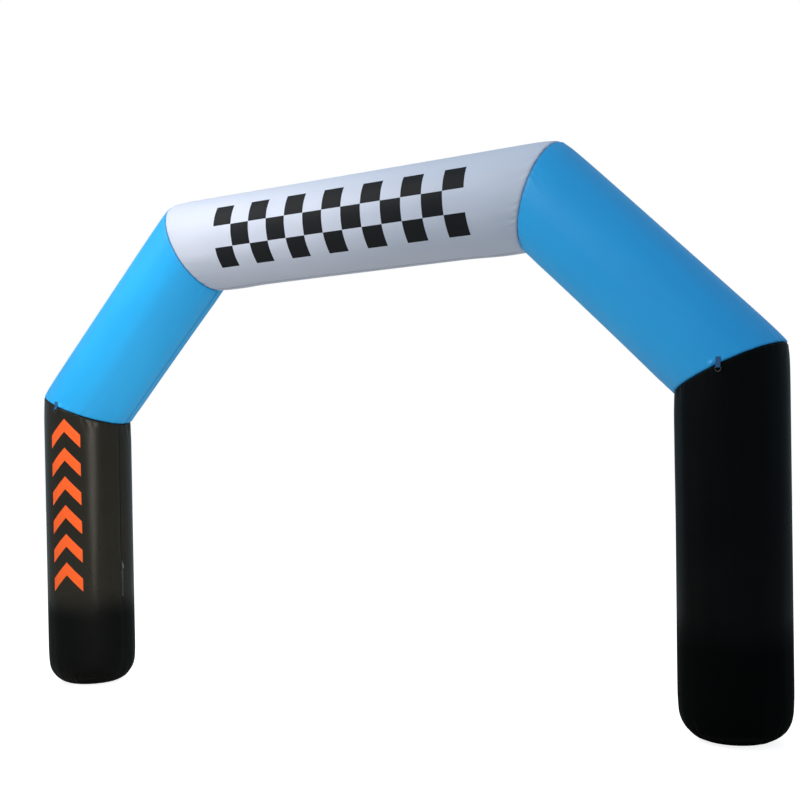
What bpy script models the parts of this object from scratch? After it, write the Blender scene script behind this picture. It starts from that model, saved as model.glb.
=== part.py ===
"""Inflated event arch: five air-filled cloth tubes joined at slanting seams, with two tie tabs and a zip.

Metres. +X runs along the span, the printed front faces -Y, +Z is up. The origin is on the ground, midway
between the feet. All tube axes lie in the plane y = 0, so the arch is worked out from five dimensions.
"""
from math import cos, exp, pi, sin, tau

import bmesh
import bpy
from mathutils import Matrix, Vector

# Driving dimensions of the arch
TUBE_DIAMETER = 0.70
LEG_AXIS_X = 2.69
LEG_BEND_Z = 2.31
BEAM_BEND_X = 1.475
BEAM_AXIS_Z = 3.535

# Shape of the inflated cloth
TUBE_SIDES = 64
SEAM_ROUND = 0.012
SEAM_ROUND_STEPS = 3
CORNER_PULL = 0.006
CORNER_REACH = 0.06
CORNER_RING_DISTANCES = (0.035, 0.07, 0.12)
FOOT_ROUND = 0.20
FOOT_ROUND_STEPS = 8
PIECE_GAP = 0.0003

# Tie tabs and rings, one at the front of each knee seam
TAB_WIDTH = 0.028
TAB_THICKNESS = 0.003
TAB_RISE = 0.040
TAB_DROP = 0.020
EYE_OUTER_RADIUS = 0.0065
EYE_HOLE_RADIUS = 0.0040
EYE_SIDES = 24
RING_WIRE_RADIUS = 0.0022
RING_HALF_WIDTH = 0.0175
RING_SIDE_DROP = 0.010
RING_CORNER_RADIUS = 0.004
RING_CORNER_STEPS = 4
RING_BOW_STEPS = 14
RING_SAG = 0.0012

# Air-release zip on the inner side of the left leg
ZIP_PULL_Z = 0.995
ZIP_LENGTH = 0.30
ZIP_TOP_MARGIN = 0.035
ZIP_TAPE_WIDTH = 0.026
ZIP_TAPE_THICKNESS = 0.0014
ZIP_CHAIN_WIDTH = 0.006
ZIP_CHAIN_HEIGHT = 0.0014
SLIDER_SIZE = (0.006, 0.011, 0.018)
SLIDER_ROUND = 0.0018
PULL_SIZE = (0.0022, 0.012, 0.036)
PULL_ROUND = 0.0009
SMALL_ROUND_STEPS = 2

TUBE_RADIUS = TUBE_DIAMETER / 2
FRONT = Vector((0, -1, 0))
UP = Vector((0, 0, 1))

# The line that the tube axes follow, from the left foot to the right foot
AXIS_CORNERS = [
    Vector((-LEG_AXIS_X, 0, 0)),
    Vector((-LEG_AXIS_X, 0, LEG_BEND_Z)),
    Vector((-BEAM_BEND_X, 0, BEAM_AXIS_Z)),
    Vector((BEAM_BEND_X, 0, BEAM_AXIS_Z)),
    Vector((LEG_AXIS_X, 0, LEG_BEND_Z)),
    Vector((LEG_AXIS_X, 0, 0)),
]
# Each tube runs from its corner of that line to the next one
TUBES = (
    {"name": "leg_left", "corner": 0, "cloth": "black_cloth"},
    {"name": "diagonal_left", "corner": 1, "cloth": "blue_cloth"},
    {"name": "beam", "corner": 2, "cloth": "white_cloth"},
    {"name": "diagonal_right", "corner": 3, "cloth": "blue_cloth"},
    {"name": "leg_right", "corner": 4, "cloth": "black_cloth"},
)
SIDES = (("left", -1), ("right", 1))

MATERIALS = {
    "black_cloth": {"color": (0.020, 0.020, 0.019, 1), "roughness": 0.45, "metallic": 0.0},
    "blue_cloth": {"color": (0.045, 0.36, 0.80, 1), "roughness": 0.42, "metallic": 0.0},
    "white_cloth": {"color": (0.80, 0.81, 0.84, 1), "roughness": 0.42, "metallic": 0.0},
    "tab_webbing": {"color": (0.055, 0.30, 0.62, 1), "roughness": 0.70, "metallic": 0.0},
    "ring_steel": {"color": (0.60, 0.60, 0.61, 1), "roughness": 0.30, "metallic": 1.0},
    "zip_tape": {"color": (0.012, 0.012, 0.012, 1), "roughness": 0.75, "metallic": 0.0},
    "zip_metal": {"color": (0.42, 0.42, 0.43, 1), "roughness": 0.38, "metallic": 1.0},
}


def clear_scene():
    """Removes whatever the start-up file holds."""
    for obj in list(bpy.data.objects):
        bpy.data.objects.remove(obj, do_unlink=True)


def new_collection(name):
    """Makes a collection under the scene's own."""
    collection = bpy.data.collections.new(name)
    bpy.context.scene.collection.children.link(collection)
    return collection


def new_material(name, look):
    """Makes a Principled material from one row of MATERIALS."""
    material = bpy.data.materials.new(name)
    material.use_nodes = True
    shader = material.node_tree.nodes["Principled BSDF"]
    shader.inputs["Base Color"].default_value = look["color"]
    shader.inputs["Roughness"].default_value = look["roughness"]
    shader.inputs["Metallic"].default_value = look["metallic"]
    material.diffuse_color = look["color"]
    return material


def new_object(name, mesh_shape, material_row, smooth=False):
    """Turns a bmesh into a named object of the part, with a material of its own."""
    bmesh.ops.recalc_face_normals(mesh_shape, faces=mesh_shape.faces)
    mesh = bpy.data.meshes.new(name)
    mesh_shape.to_mesh(mesh)
    mesh_shape.free()
    for polygon in mesh.polygons:
        polygon.use_smooth = smooth
    mesh.materials.append(new_material(name, MATERIALS[material_row]))
    obj = bpy.data.objects.new(name, mesh)
    PART.objects.link(obj)
    return obj


# --- Tubes -------------------------------------------------------------------------------------------


def seam_rings():
    """(distance from the seam, how far the cloth rolls in) of each ring, from the seam outwards."""
    rings = []
    for step in range(SEAM_ROUND_STEPS + 1):
        angle = step / SEAM_ROUND_STEPS * pi / 2
        rings.append((SEAM_ROUND * (1 - cos(angle)), SEAM_ROUND * (1 - sin(angle))))
    rings += [(distance, 0.0) for distance in CORNER_RING_DISTANCES]
    return rings


def seam_end(corner, tube_axis, other_axis, inward):
    """Rings of a tube where it meets its neighbour at a slanting seam.

    corner is where the two axes meet, tube_axis and other_axis both run along the arch from left to right,
    and inward is 1 at the tube's start and -1 at its end.
    """
    seam_normal = (tube_axis + other_axis).normalized()
    across = FRONT.cross(tube_axis)
    turn = (other_axis - tube_axis) * -inward
    outer_side = -(turn - tube_axis * turn.dot(tube_axis)).normalized()
    rings = []
    for distance, roll in seam_rings():
        ring = []
        for side in range(TUBE_SIDES):
            angle = side / TUBE_SIDES * tau
            radial = FRONT * cos(angle) - across * sin(angle)
            at_corner = max(0.0, radial.dot(outer_side)) ** 2
            pull = CORNER_PULL * at_corner * exp(-((distance / CORNER_REACH) ** 2))
            spoke = radial * (TUBE_RADIUS - roll - pull)
            to_seam = (inward * PIECE_GAP / 2 - spoke.dot(seam_normal)) / tube_axis.dot(seam_normal)
            ring.append(corner + spoke + tube_axis * (to_seam + inward * distance))
        rings.append(ring)
    return rings


def foot_end(foot, tube_axis, inward):
    """Rings of a leg's foot: a flat bottom and the cloth bulging round it up to the full width."""
    across = FRONT.cross(tube_axis)
    rings = []
    for step in range(FOOT_ROUND_STEPS + 1):
        angle = step / FOOT_ROUND_STEPS * pi / 2
        height = FOOT_ROUND * (1 - cos(angle))
        radius = TUBE_RADIUS - FOOT_ROUND * (1 - sin(angle))
        ring = []
        for side in range(TUBE_SIDES):
            turn = side / TUBE_SIDES * tau
            radial = FRONT * cos(turn) - across * sin(turn)
            ring.append(foot + radial * radius + tube_axis * inward * height)
        rings.append(ring)
    return rings


def loft(rings):
    """A closed body through rings of equal vertex count. Both ends are flat faces."""
    shape = bmesh.new()
    loops = [[shape.verts.new(point) for point in ring] for ring in rings]
    for near, far in zip(loops, loops[1:]):
        for side in range(TUBE_SIDES):
            after = (side + 1) % TUBE_SIDES
            shape.faces.new((near[side], near[after], far[after], far[side]))
    shape.faces.new(loops[0])
    shape.faces.new(loops[-1])
    return shape


def make_tube(tube):
    """Builds one tube of the arch between its two corners of the axis line."""
    first = tube["corner"]
    axes = [(after - before).normalized() for before, after in zip(AXIS_CORNERS, AXIS_CORNERS[1:])]
    axis = axes[first]
    last_tube = len(axes) - 1
    if first == 0:
        start = foot_end(AXIS_CORNERS[first], axis, 1)
    else:
        start = seam_end(AXIS_CORNERS[first], axis, axes[first - 1], 1)
    if first == last_tube:
        end = foot_end(AXIS_CORNERS[first + 1], axis, -1)
    else:
        end = seam_end(AXIS_CORNERS[first + 1], axis, axes[first + 1], -1)
    new_object(tube["name"], loft(start + end[::-1]), tube["cloth"], smooth=True)


# --- Tie tabs and rings ------------------------------------------------------------------------------


def cloth_front(side):
    """The point at the front of a knee seam where a tab lies on the cloth."""
    return Vector((side * LEG_AXIS_X, -TUBE_RADIUS - PIECE_GAP, LEG_BEND_Z))


def block(size, centre):
    """A cube primitive of the given size and centre."""
    shape = bmesh.new()
    bmesh.ops.create_cube(shape, size=1.0)
    bmesh.ops.scale(shape, vec=size, verts=shape.verts)
    bmesh.ops.translate(shape, vec=centre, verts=shape.verts)
    return shape


def rod_along_x(radius, length, centre):
    """A cylinder primitive lying along X."""
    shape = bmesh.new()
    turn = Matrix.Rotation(pi / 2, 4, "Y")
    bmesh.ops.create_cone(
        shape,
        cap_ends=True,
        segments=EYE_SIDES,
        radius1=radius,
        radius2=radius,
        depth=length,
        matrix=Matrix.Translation(centre) @ turn,
    )
    return shape


def add_tool(name, shape):
    """Makes a hidden body that a Boolean modifier of the part uses."""
    bmesh.ops.recalc_face_normals(shape, faces=shape.faces)
    mesh = bpy.data.meshes.new(name)
    shape.to_mesh(mesh)
    shape.free()
    obj = bpy.data.objects.new(name, mesh)
    obj.hide_render = True
    obj.display_type = "WIRE"
    TOOLS.objects.link(obj)
    return obj


def boolean(obj, tool, operation):
    """Adds an exact Boolean modifier."""
    modifier = obj.modifiers.new(tool.name, "BOOLEAN")
    modifier.operation = operation
    modifier.solver = "EXACT"
    modifier.object = tool


def eye_centre(side):
    """Centre of the fold at the bottom of a tab, which holds the ring."""
    return cloth_front(side) + Vector((0, -EYE_OUTER_RADIUS, -TAB_DROP))


def make_tab(label, side):
    """A folded strap sewn into the knee seam: a flat double layer with an eye at its lower end."""
    front = cloth_front(side)
    eye = eye_centre(side)
    height = TAB_RISE + TAB_DROP
    strap_centre = front + Vector((0, -TAB_THICKNESS / 2, TAB_RISE - height / 2))
    strap = block((TAB_WIDTH, TAB_THICKNESS, height), strap_centre)
    tab = new_object(f"tie_tab_{label}", strap, "tab_webbing")
    fold = rod_along_x(EYE_OUTER_RADIUS, TAB_WIDTH, eye)
    hole = rod_along_x(EYE_HOLE_RADIUS, 2 * TAB_WIDTH, eye)
    boolean(tab, add_tool(f"tab_fold_{label}", fold), "UNION")
    boolean(tab, add_tool(f"tab_hole_{label}", hole), "DIFFERENCE")


def arc(centre_x, centre_z, radius, start, sweep, steps):
    """(x, z) points of an arc, both ends included."""
    points = []
    for step in range(steps + 1):
        angle = start + sweep * step / steps
        points.append((centre_x + radius * cos(angle), centre_z + radius * sin(angle)))
    return points


def ring_outline():
    """(x, z) points of a D-shaped ring's centre line, its straight bar on z = 0."""
    inset = RING_HALF_WIDTH - RING_CORNER_RADIUS
    right = arc(inset, -RING_CORNER_RADIUS, RING_CORNER_RADIUS, pi / 2, -pi / 2, RING_CORNER_STEPS)
    bow = arc(0, -RING_SIDE_DROP, RING_HALF_WIDTH, 0, -pi, RING_BOW_STEPS)
    left = arc(-inset, -RING_CORNER_RADIUS, RING_CORNER_RADIUS, pi, -pi / 2, RING_CORNER_STEPS)
    return right + bow + left


def make_ring(label, side):
    """A steel ring hanging from a tab's eye, bent from round wire."""
    name = f"tie_ring_{label}"
    origin = eye_centre(side) - UP * RING_SAG
    outline = ring_outline()
    curve = bpy.data.curves.new(name, "CURVE")
    curve.dimensions = "3D"
    curve.bevel_depth = RING_WIRE_RADIUS
    curve.bevel_resolution = 2
    spline = curve.splines.new("POLY")
    spline.points.add(len(outline) - 1)
    spline.use_cyclic_u = True
    for point, (x, z) in zip(spline.points, outline):
        point.co = (origin.x + x, origin.y, origin.z + z, 1)
    curve.materials.append(new_material(name, MATERIALS["ring_steel"]))
    obj = bpy.data.objects.new(name, curve)
    PART.objects.link(obj)


# --- Zip ---------------------------------------------------------------------------------------------


def zip_face_x():
    """The x of the cloth at the leg's inner side, where the zip's tape lies."""
    return -LEG_AXIS_X + TUBE_RADIUS + PIECE_GAP


def make_zip_tape():
    """The tape with its raised chain of teeth, one strip from end to end."""
    x0 = zip_face_x()
    x1 = x0 + ZIP_TAPE_THICKNESS
    x2 = x1 + ZIP_CHAIN_HEIGHT
    tape = ZIP_TAPE_WIDTH / 2
    chain = ZIP_CHAIN_WIDTH / 2
    lower_half = [(x0, -tape), (x1, -tape), (x1, -chain), (x2, -chain)]
    outline = lower_half + [(x, -y) for x, y in reversed(lower_half)]
    top = ZIP_PULL_Z + ZIP_TOP_MARGIN
    shape = bmesh.new()
    face = shape.faces.new([shape.verts.new((x, y, top - ZIP_LENGTH)) for x, y in outline])
    grown = bmesh.ops.extrude_face_region(shape, geom=[face])
    risen = [item for item in grown["geom"] if isinstance(item, bmesh.types.BMVert)]
    bmesh.ops.translate(shape, vec=UP * ZIP_LENGTH, verts=risen)
    new_object("zip_tape", shape, "zip_tape")


def rounded_block(name, size, centre, roundness, material_row):
    """A block with all its edges rounded by a Bevel modifier."""
    obj = new_object(name, block(size, centre), material_row)
    bevel = obj.modifiers.new("round", "BEVEL")
    bevel.width = roundness
    bevel.segments = SMALL_ROUND_STEPS
    bevel.limit_method = "NONE"


def make_zip_slider():
    """The slider on the chain and the pull hanging in front of it."""
    chain_x = zip_face_x() + ZIP_TAPE_THICKNESS + ZIP_CHAIN_HEIGHT
    slider_x = chain_x + PIECE_GAP + SLIDER_SIZE[0] / 2
    rounded_block("zip_slider", SLIDER_SIZE, (slider_x, 0, ZIP_PULL_Z), SLIDER_ROUND, "zip_metal")
    pull_x = slider_x + SLIDER_SIZE[0] / 2 + PIECE_GAP + PULL_SIZE[0] / 2
    pull_z = ZIP_PULL_Z - PULL_SIZE[2] / 2 + SLIDER_SIZE[2] / 4
    rounded_block("zip_pull", PULL_SIZE, (pull_x, 0, pull_z), PULL_ROUND, "zip_metal")


clear_scene()
PART = new_collection("inflatable_arch")
TOOLS = new_collection("cutters")
TOOLS.hide_render = True
for tube_row in TUBES:
    make_tube(tube_row)
for side_label, side_sign in SIDES:
    make_tab(side_label, side_sign)
    make_ring(side_label, side_sign)
make_zip_tape()
make_zip_slider()
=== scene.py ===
"""Inflatable event arch: the looks built round its CAD frame.

Run as a script. Five air-filled cloth tubes are modelled, blown up with the cloth solver, and given their
seams, puckers, prints and fittings. Metres. +X runs along the span, the printed front faces -Y, +Z is up.
"""
from math import cos, pi, radians, sin, tau

import bmesh
import bpy
import numpy as np
from bpy.props import FloatProperty, FloatVectorProperty, IntProperty, PointerProperty
from mathutils import Matrix, Vector


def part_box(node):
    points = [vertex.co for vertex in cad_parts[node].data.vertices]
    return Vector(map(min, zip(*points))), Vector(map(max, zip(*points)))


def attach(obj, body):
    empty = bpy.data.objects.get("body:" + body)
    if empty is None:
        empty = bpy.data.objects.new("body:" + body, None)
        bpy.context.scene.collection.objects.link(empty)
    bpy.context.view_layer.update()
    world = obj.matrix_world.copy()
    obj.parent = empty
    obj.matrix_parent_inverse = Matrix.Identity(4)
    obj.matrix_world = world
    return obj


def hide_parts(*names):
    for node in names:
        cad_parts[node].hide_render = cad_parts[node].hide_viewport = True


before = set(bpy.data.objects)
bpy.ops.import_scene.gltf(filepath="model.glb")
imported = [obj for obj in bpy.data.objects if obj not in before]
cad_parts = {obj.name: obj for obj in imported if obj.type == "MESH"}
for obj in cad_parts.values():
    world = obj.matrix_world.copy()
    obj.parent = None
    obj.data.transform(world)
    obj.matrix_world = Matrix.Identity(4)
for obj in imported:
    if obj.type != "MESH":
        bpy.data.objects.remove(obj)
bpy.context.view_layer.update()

bl_info = {
    "name": "Inflatable event arch",
    "version": (1, 0, 0),
    "blender": (4, 5, 0),
    "location": "3D View > Sidebar > Arch",
    "description": "Builds an inflatable arch of sewn cloth tubes round its CAD frame",
    "category": "Object",
}

BODY = "root"
FRONT = Vector((0, -1, 0))
LEG_LOW, LEG_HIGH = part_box("leg_left")
BEAM_LOW, BEAM_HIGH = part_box("beam")

# Each tube runs from its corner of the axis line to the next one, from the left foot to the right foot.
# A tube with a twin is modelled once, and its twin is the mirrored copy. The lengthwise seam lies on the
# inner side of the bend, and seam_turn sets it further round to the back.
TUBES = {
    "leg_left": {"corner": 0, "slot": "black_cloth", "seed": 11},
    "diagonal_left": {"corner": 1, "slot": "blue_cloth", "seed": 23, "seam_turn": 1.15},
    "beam": {"corner": 2, "slot": "white_cloth", "seed": 37},
    "diagonal_right": {"corner": 3, "slot": "blue_cloth", "seed": 41, "seam_turn": 1.15},
    "leg_right": {"corner": 4, "slot": "black_cloth", "seed": 59},
}
LAST_TUBE = 4
FITTINGS = ("tie_tab_left", "tie_tab_right", "zip_tape")
CLOTH_MAP = "cloth_map"
SEAM_DISTANCE = "seam_distance"
SEWN_DISTANCE = "sewn_distance"
STRAP_STEPS = 6
RING_STEPS = 14
BLACK_THREAD = (0.030, 0.030, 0.030)
BLUE_THREAD = (0.030, 0.260, 0.640)
WHITE_THREAD = (0.62, 0.63, 0.68)
# How far from a seam the closely spaced loops of a tube lie
SEAM_LOOPS = (0.0025, 0.006, 0.010, 0.015, 0.022, 0.032, 0.046, 0.064, 0.088, 0.12, 0.16)
# Points nearer than this count as touching
TOUCH = 1e-5
# Points this near to a seam plane belong to its rim
RIM_REACH = 1e-4
# A share of the tube's radius above which a point lies on its wall, before and after it is drawn in
ON_WALL = 0.999
NEAR_WALL = 0.9
# A seam's valley, its groove, its folded flap, its short puckers and the line that its stitches press down
VALLEY_WIDTH = 0.020
GROOVE_WIDTH = 0.0035
FLAP_PLACE = 0.010
FLAP_HALF_WIDTH = 0.008
FLAP_EDGE = 0.0012
SHORT_PUCKER_WIDTH = 0.009
PRESSED_WIDTH = 0.0022
# How deep the groove round a foot is, and how far apart the creases of a gathered fold lie
FOOT_GROOVE_DEPTH = 0.0022
FOLD_CREASE_SPACING = 0.019
# Over what distance the relief fades out towards a seam between tubes, the ground and a fitting
SEAM_FADE = 0.006
GROUND_FADE = 0.03
FITTING_CLEAR = 0.003
FITTING_FADE = 0.014
# How many ripples are laid over one another
RIPPLE_COUNT = 9
# A distance beyond every seam
FAR = 9.0
# How tightly the cloth of a foot's rounding is held while the leg fills with air
FOOT_HOLD = 0.6
# The stitches on a strap: how far in the box lies, how far down it reaches, and the short line under it
BOX_INSET = 0.003
BOX_DROP = 0.036
LINE_DROP = 0.043
LINE_HALF = 0.010
# How steep a crease between faces may be before it is shaded sharp
CLOTH_CREASE = radians(50)
TAPE_CREASE = radians(40)
METAL_CREASE = radians(35)
# The weave of the cloth, its ink, and the two rows of stitches beside a seam
WEAVE_THREAD = 0.0011
WEAVE_DEPTH = 0.00003
INK_HEIGHT = 0.0002
INK_ROUGHER = 0.20
STITCH_HEIGHT = 0.0006
STITCH_ROWS_MIDDLE = 0.010
STITCH_ROWS_APART = 0.003
STITCH_HALF_WIDTHS = (0.0004, 0.0009)
# Heights between which a leg's cloth turns darker as painted shadow low on the leg, and how uneven that edge
# is
FOOT_PAINTED_SHADOW = (0.62, 0.92)
FOOT_PAINTED_SHADOW_UNEVEN = 0.16
DUST_COLOUR = (0.30, 0.27, 0.23, 1.0)
# The ring's steel colours are darkened as painted shade.
RING_STEEL_PAINTED_SHADE = ((0.14, 0.14, 0.15, 1.0), (0.09, 0.08, 0.07, 1.0), 0.42)
ZIP_METAL = ((0.40, 0.40, 0.41, 1.0), (0.20, 0.19, 0.18, 1.0), 0.30)


def length(label, default, about, low=0.0, high=30.0):
    """A property for a size in metres."""
    return FloatProperty(
        name=label, description=about, default=default, min=low, max=high, unit="LENGTH", precision=4
    )


def tint(label, default, about):
    """A property for a colour."""
    return FloatVectorProperty(
        name=label, description=about, default=default, subtype="COLOR", size=3, min=0.0, max=1.0
    )


def share(label, default, about, high=1.0):
    """A property for a plain factor."""
    return FloatProperty(name=label, description=about, default=default, min=0.0, max=high)


def spot(label, default, about):
    """A property for a place."""
    return FloatVectorProperty(
        name=label, description=about, default=default, subtype="TRANSLATION", size=3
    )


def bearing(label, degrees, about):
    """A property for an angle, given in degrees."""
    return FloatProperty(name=label, description=about, default=radians(degrees), unit="ROTATION")


class ArchSizes(bpy.types.PropertyGroup):
    """The sizes that the arch is worked out from."""

    tube_radius: length("Tube radius", (LEG_HIGH.x - LEG_LOW.x) / 2, "Radius of every cloth tube")
    leg_axis_x: length("Leg offset", -(LEG_HIGH.x + LEG_LOW.x) / 2, "Distance of a leg from the middle")
    knee_z: length("Knee height", 2.31, "Height where a leg's axis meets its diagonal's")
    beam_bend_x: length("Beam half length", 1.475, "Distance from the middle to the beam's bends")
    beam_z: length("Beam height", BEAM_LOW.z + (LEG_HIGH.x - LEG_LOW.x) / 2, "Height of the beam's axis")
    foot_round: length("Foot rounding", 0.20, "Radius of the rounded edge of a foot")
    seam_gap: length("Seam gap", 0.0003, "Gap between the cloth of two tubes at their seam")
    columns: IntProperty(name="Columns", description="Faces round a tube before smoothing", default=200)
    crowding: share("Crowding", 0.5, "How much closer the columns lie near the lengthwise seam")
    middle_loops: IntProperty(name="Middle loops", description="Loops between a tube's ends", default=26)
    foot_segments: IntProperty(name="Foot segments", description="Steps of a foot's rounding", default=9)


class SeamSizes(bpy.types.PropertyGroup):
    """How the sewn seams shape the cloth."""

    seam_round: length("Seam rounding", 0.012, "How far the cloth rolls in at a seam between tubes")
    corner_pull: length("Corner pull", 0.006, "How far the cloth is drawn in at the outer side of a bend")
    corner_reach: length("Corner reach", 0.06, "How far along the tube that draw reaches")
    pucker_depth: length("Pucker depth", 0.0040, "Depth of the puckers beside a seam")
    pucker_length: length("Pucker length", 0.085, "How far the puckers run from a seam")
    pucker_spacing: length("Pucker spacing", 0.042, "Distance between puckers along a seam")
    ridge: length("Seam ridge", 0.0011, "Height of the doubled cloth beside a seam")
    ridge_width: length("Ridge width", 0.013, "Width of the doubled cloth beside a seam")
    sewn_depth: length("Sewn depth", 0.0065, "How far the lengthwise seam draws the cloth in")
    stitch: length("Stitch length", 0.006, "Length of one stitch and its gap")
    ripple: length("Ripple height", 0.0045, "Height of the faint ripples along a tube")
    fold_width: length("Fold width", 0.046, "Half width of the cloth that a tie tab gathers up")
    fold_rise: length("Fold rise", 0.036, "How far that gathered cloth rises from the seam")
    fold_height: length("Fold height", 0.014, "How far that gathered cloth stands out")


class FittingSizes(bpy.types.PropertyGroup):
    """Sizes of the straps, rings and zip."""

    webbing: length("Webbing", 0.0014, "Thickness of the strap's webbing")
    eye_radius: length("Eye radius", 0.0065, "Outer radius of the strap's fold round the ring")
    stitch_pitch: length("Stitch pitch", 0.0030, "Length of one stitch and its gap on a strap")
    ring_wire: length("Ring wire", 0.0022, "Radius of the ring's wire")
    ring_side: length("Ring side", 0.010, "Length of the ring's straight sides")
    tooth_pitch: length("Tooth pitch", 0.0022, "Distance from one zip tooth to the next")
    tooth_reach: length("Tooth reach", 0.0045, "Width of one zip tooth")
    tape_thickness: length("Tape thickness", 0.0012, "Thickness of the zip's tape")


class AirSettings(bpy.types.PropertyGroup):
    """How the tubes are blown up."""

    pressure: share("Air pressure", 4.0, "Pressure that fills the cloth", high=100.0)
    slack: share("Slack", 0.010, "How much smaller the cloth starts, as a share of its radius")
    steps: IntProperty(name="Steps", description="Frames that the cloth takes to fill", default=20)
    swell: length("Largest swell", 0.0045, "The most that any point of the cloth may move")


class ClothColours(bpy.types.PropertyGroup):
    """Colours of the cloth and of what is printed on it."""

    # The left leg's own black, lightened to a warm grey as painted sheen.
    black: tint("Black cloth", (0.0260, 0.0230, 0.0170), "Cloth of the left leg")
    # Painted shadow: the black that the legs turn to low down.
    black_foot_painted_shadow: tint("Black foot", (0.0008, 0.0010, 0.0010), "The darker black low on the legs")
    # The right leg's cloth is a darker copy of the same black cloth, as painted shade.
    black_right_painted_shade: tint("Right black cloth", (0.0040, 0.0045, 0.0045), "Cloth of the right leg")
    black_shadow: tint("Black shadow", (0.0160, 0.0142, 0.0105), "Darker parts of the left leg's cloth")
    left_shine: share("Left shine", 0.115, "How much the left leg's cloth shines")
    right_shine: share("Right shine", 0.048, "How much the right leg's cloth shines")
    beam_shine: share("Beam shine", 0.16, "How much the beam's cloth shines")
    blue: tint("Blue cloth", (0.020, 0.475, 1.0), "Cloth of the diagonals")
    blue_shadow: tint("Blue shadow", (0.014, 0.415, 0.940), "Darker parts of the blue cloth")
    # The beam's white cloth and its darker mottle are tinted blue as painted sky light, over the cloth's own
    # white.
    white: tint("White cloth", (0.71, 0.74, 0.88), "Cloth of the beam")
    white_shadow: tint("White shadow", (0.66, 0.69, 0.82), "Darker parts of the white cloth")
    print_black: tint("Black print", (0.012, 0.013, 0.016), "Squares printed on the beam")
    print_orange: tint("Orange print", (1.0, 0.135, 0.026), "Chevrons printed on the left leg")
    # Painted shade: deep in a seam the cloth is darkened to this share of its shadow colour.
    crease: share("Crease", 0.60, "How bright the cloth is deep in a seam, as a share of its shadow colour")
    roughness: share("Roughness", 0.40, "Roughness of the coated cloth")
    foot_dull: share("Foot dullness", 0.35, "How much rougher the cloth is low on the legs")
    leg_roughness: share("Leg roughness", 0.26, "Roughness of the left leg's cloth")


class PrintSizes(bpy.types.PropertyGroup):
    """The printed band on the beam and the printed strip on the left leg."""

    square: length("Square", 0.16, "Side of one printed square")
    rows: IntProperty(name="Rows", description="Rows of squares", default=3)
    squares: IntProperty(name="Squares", description="Squares in a row", default=13)
    band_drop: length("Band drop", 0.036, "How far the band's middle lies under the beam's front line")
    chevron_width: length("Chevron width", 0.27, "Width of the chevrons")
    chevron_pitch: length("Chevron pitch", 0.235, "Distance from one chevron to the next")
    chevron_arm: length("Chevron arm", 0.105, "Height of a chevron's arm")
    chevrons: IntProperty(name="Chevrons", description="Number of chevrons", default=6)
    strip_middle_z: length("Strip height", 1.50, "Height of the middle of the strip")
    strip_offset: length("Strip offset", 0.075, "How far the strip lies from the leg's front line")


class StageSettings(bpy.types.PropertyGroup):
    """Floor, lights and camera."""

    floor: tint("Floor", (0.78, 0.71, 0.64), "Colour of the floor")
    floor_glow: share("Floor glow", 0.85, "How much the floor is brightened where it is seen")
    floor_size: length("Floor size", 120.0, "Side of the floor", high=500.0)
    floor_drop: length("Floor drop", 0.0005, "How far the floor lies under the feet")
    sky: share("Surrounding light", 0.49, "Strength of the even light all round", high=10.0)
    sky_colour: tint("Sky colour", (0.64, 0.85, 1.0), "Colour of the even light all round")
    backdrop: share("Backdrop", 1.0, "Brightness of the surround where it is seen", high=10.0)
    key: share("Key light", 240.0, "Power of the large light at the upper left", high=5000.0)
    key_place: spot("Key place", (-3.1, -4.1, 7.0), "Where the key light stands")
    key_aim: spot("Key aim", (-1.6, 0.0, 2.4), "Where the key light is turned to")
    key_size: length("Key size", 2.2, "Width of the key light")
    key_colour: tint("Key colour", (1.0, 0.95, 0.88), "Colour of the key light")
    front: share("Front light", 20.5, "Power of the light near the camera", high=5000.0)
    front_place: spot("Front place", (2.83, -4.3, 2.7), "Where the front light stands")
    front_aim: spot("Front aim", (-2.69, 0.0, 1.6), "Where the front light is turned to")
    front_size: length("Front size", 0.45, "Width of the front light")
    front_tall: length("Front height", 4.2, "Height of the front light")
    front_spread: bearing("Front spread", 50.0, "Angle of the front light's beam")
    front_colour: tint("Front colour", (1.0, 0.93, 0.83), "Colour of the front light")
    back: share("Back light", 150.0, "Power of the light behind the arch", high=5000.0)
    back_place: spot("Back place", (2.5, 7.5, 6.5), "Where the back light stands")
    back_aim: spot("Back aim", (0.0, 0.0, 2.2), "Where the back light is turned to")
    back_size: length("Back size", 3.5, "Width of the back light")
    camera_place: spot("Camera place", (4.149, -6.866, 1.6215), "Where the camera stands")
    camera_yaw: bearing("Camera yaw", 27.408, "Turn of the camera to the left")
    camera_pitch: bearing("Camera pitch", -0.6285, "Tilt of the camera")
    camera_roll: bearing("Camera roll", -0.9606, "Lean of the camera")
    lens: share("Lens", 48.996, "Focal length in millimetres", high=500.0)
    shift_x: FloatProperty(name="Shift X", description="Sideways shift of the frame", default=-0.0406)
    shift_y: FloatProperty(name="Shift Y", description="Upward shift of the frame", default=0.1203)


GROUPS = {
    "arch_sizes": ArchSizes,
    "arch_seams": SeamSizes,
    "arch_fittings": FittingSizes,
    "arch_air": AirSettings,
    "arch_colours": ClothColours,
    "arch_prints": PrintSizes,
    "arch_stage": StageSettings,
}


# --- Working out the tubes ---------------------------------------------------------------------------


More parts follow.
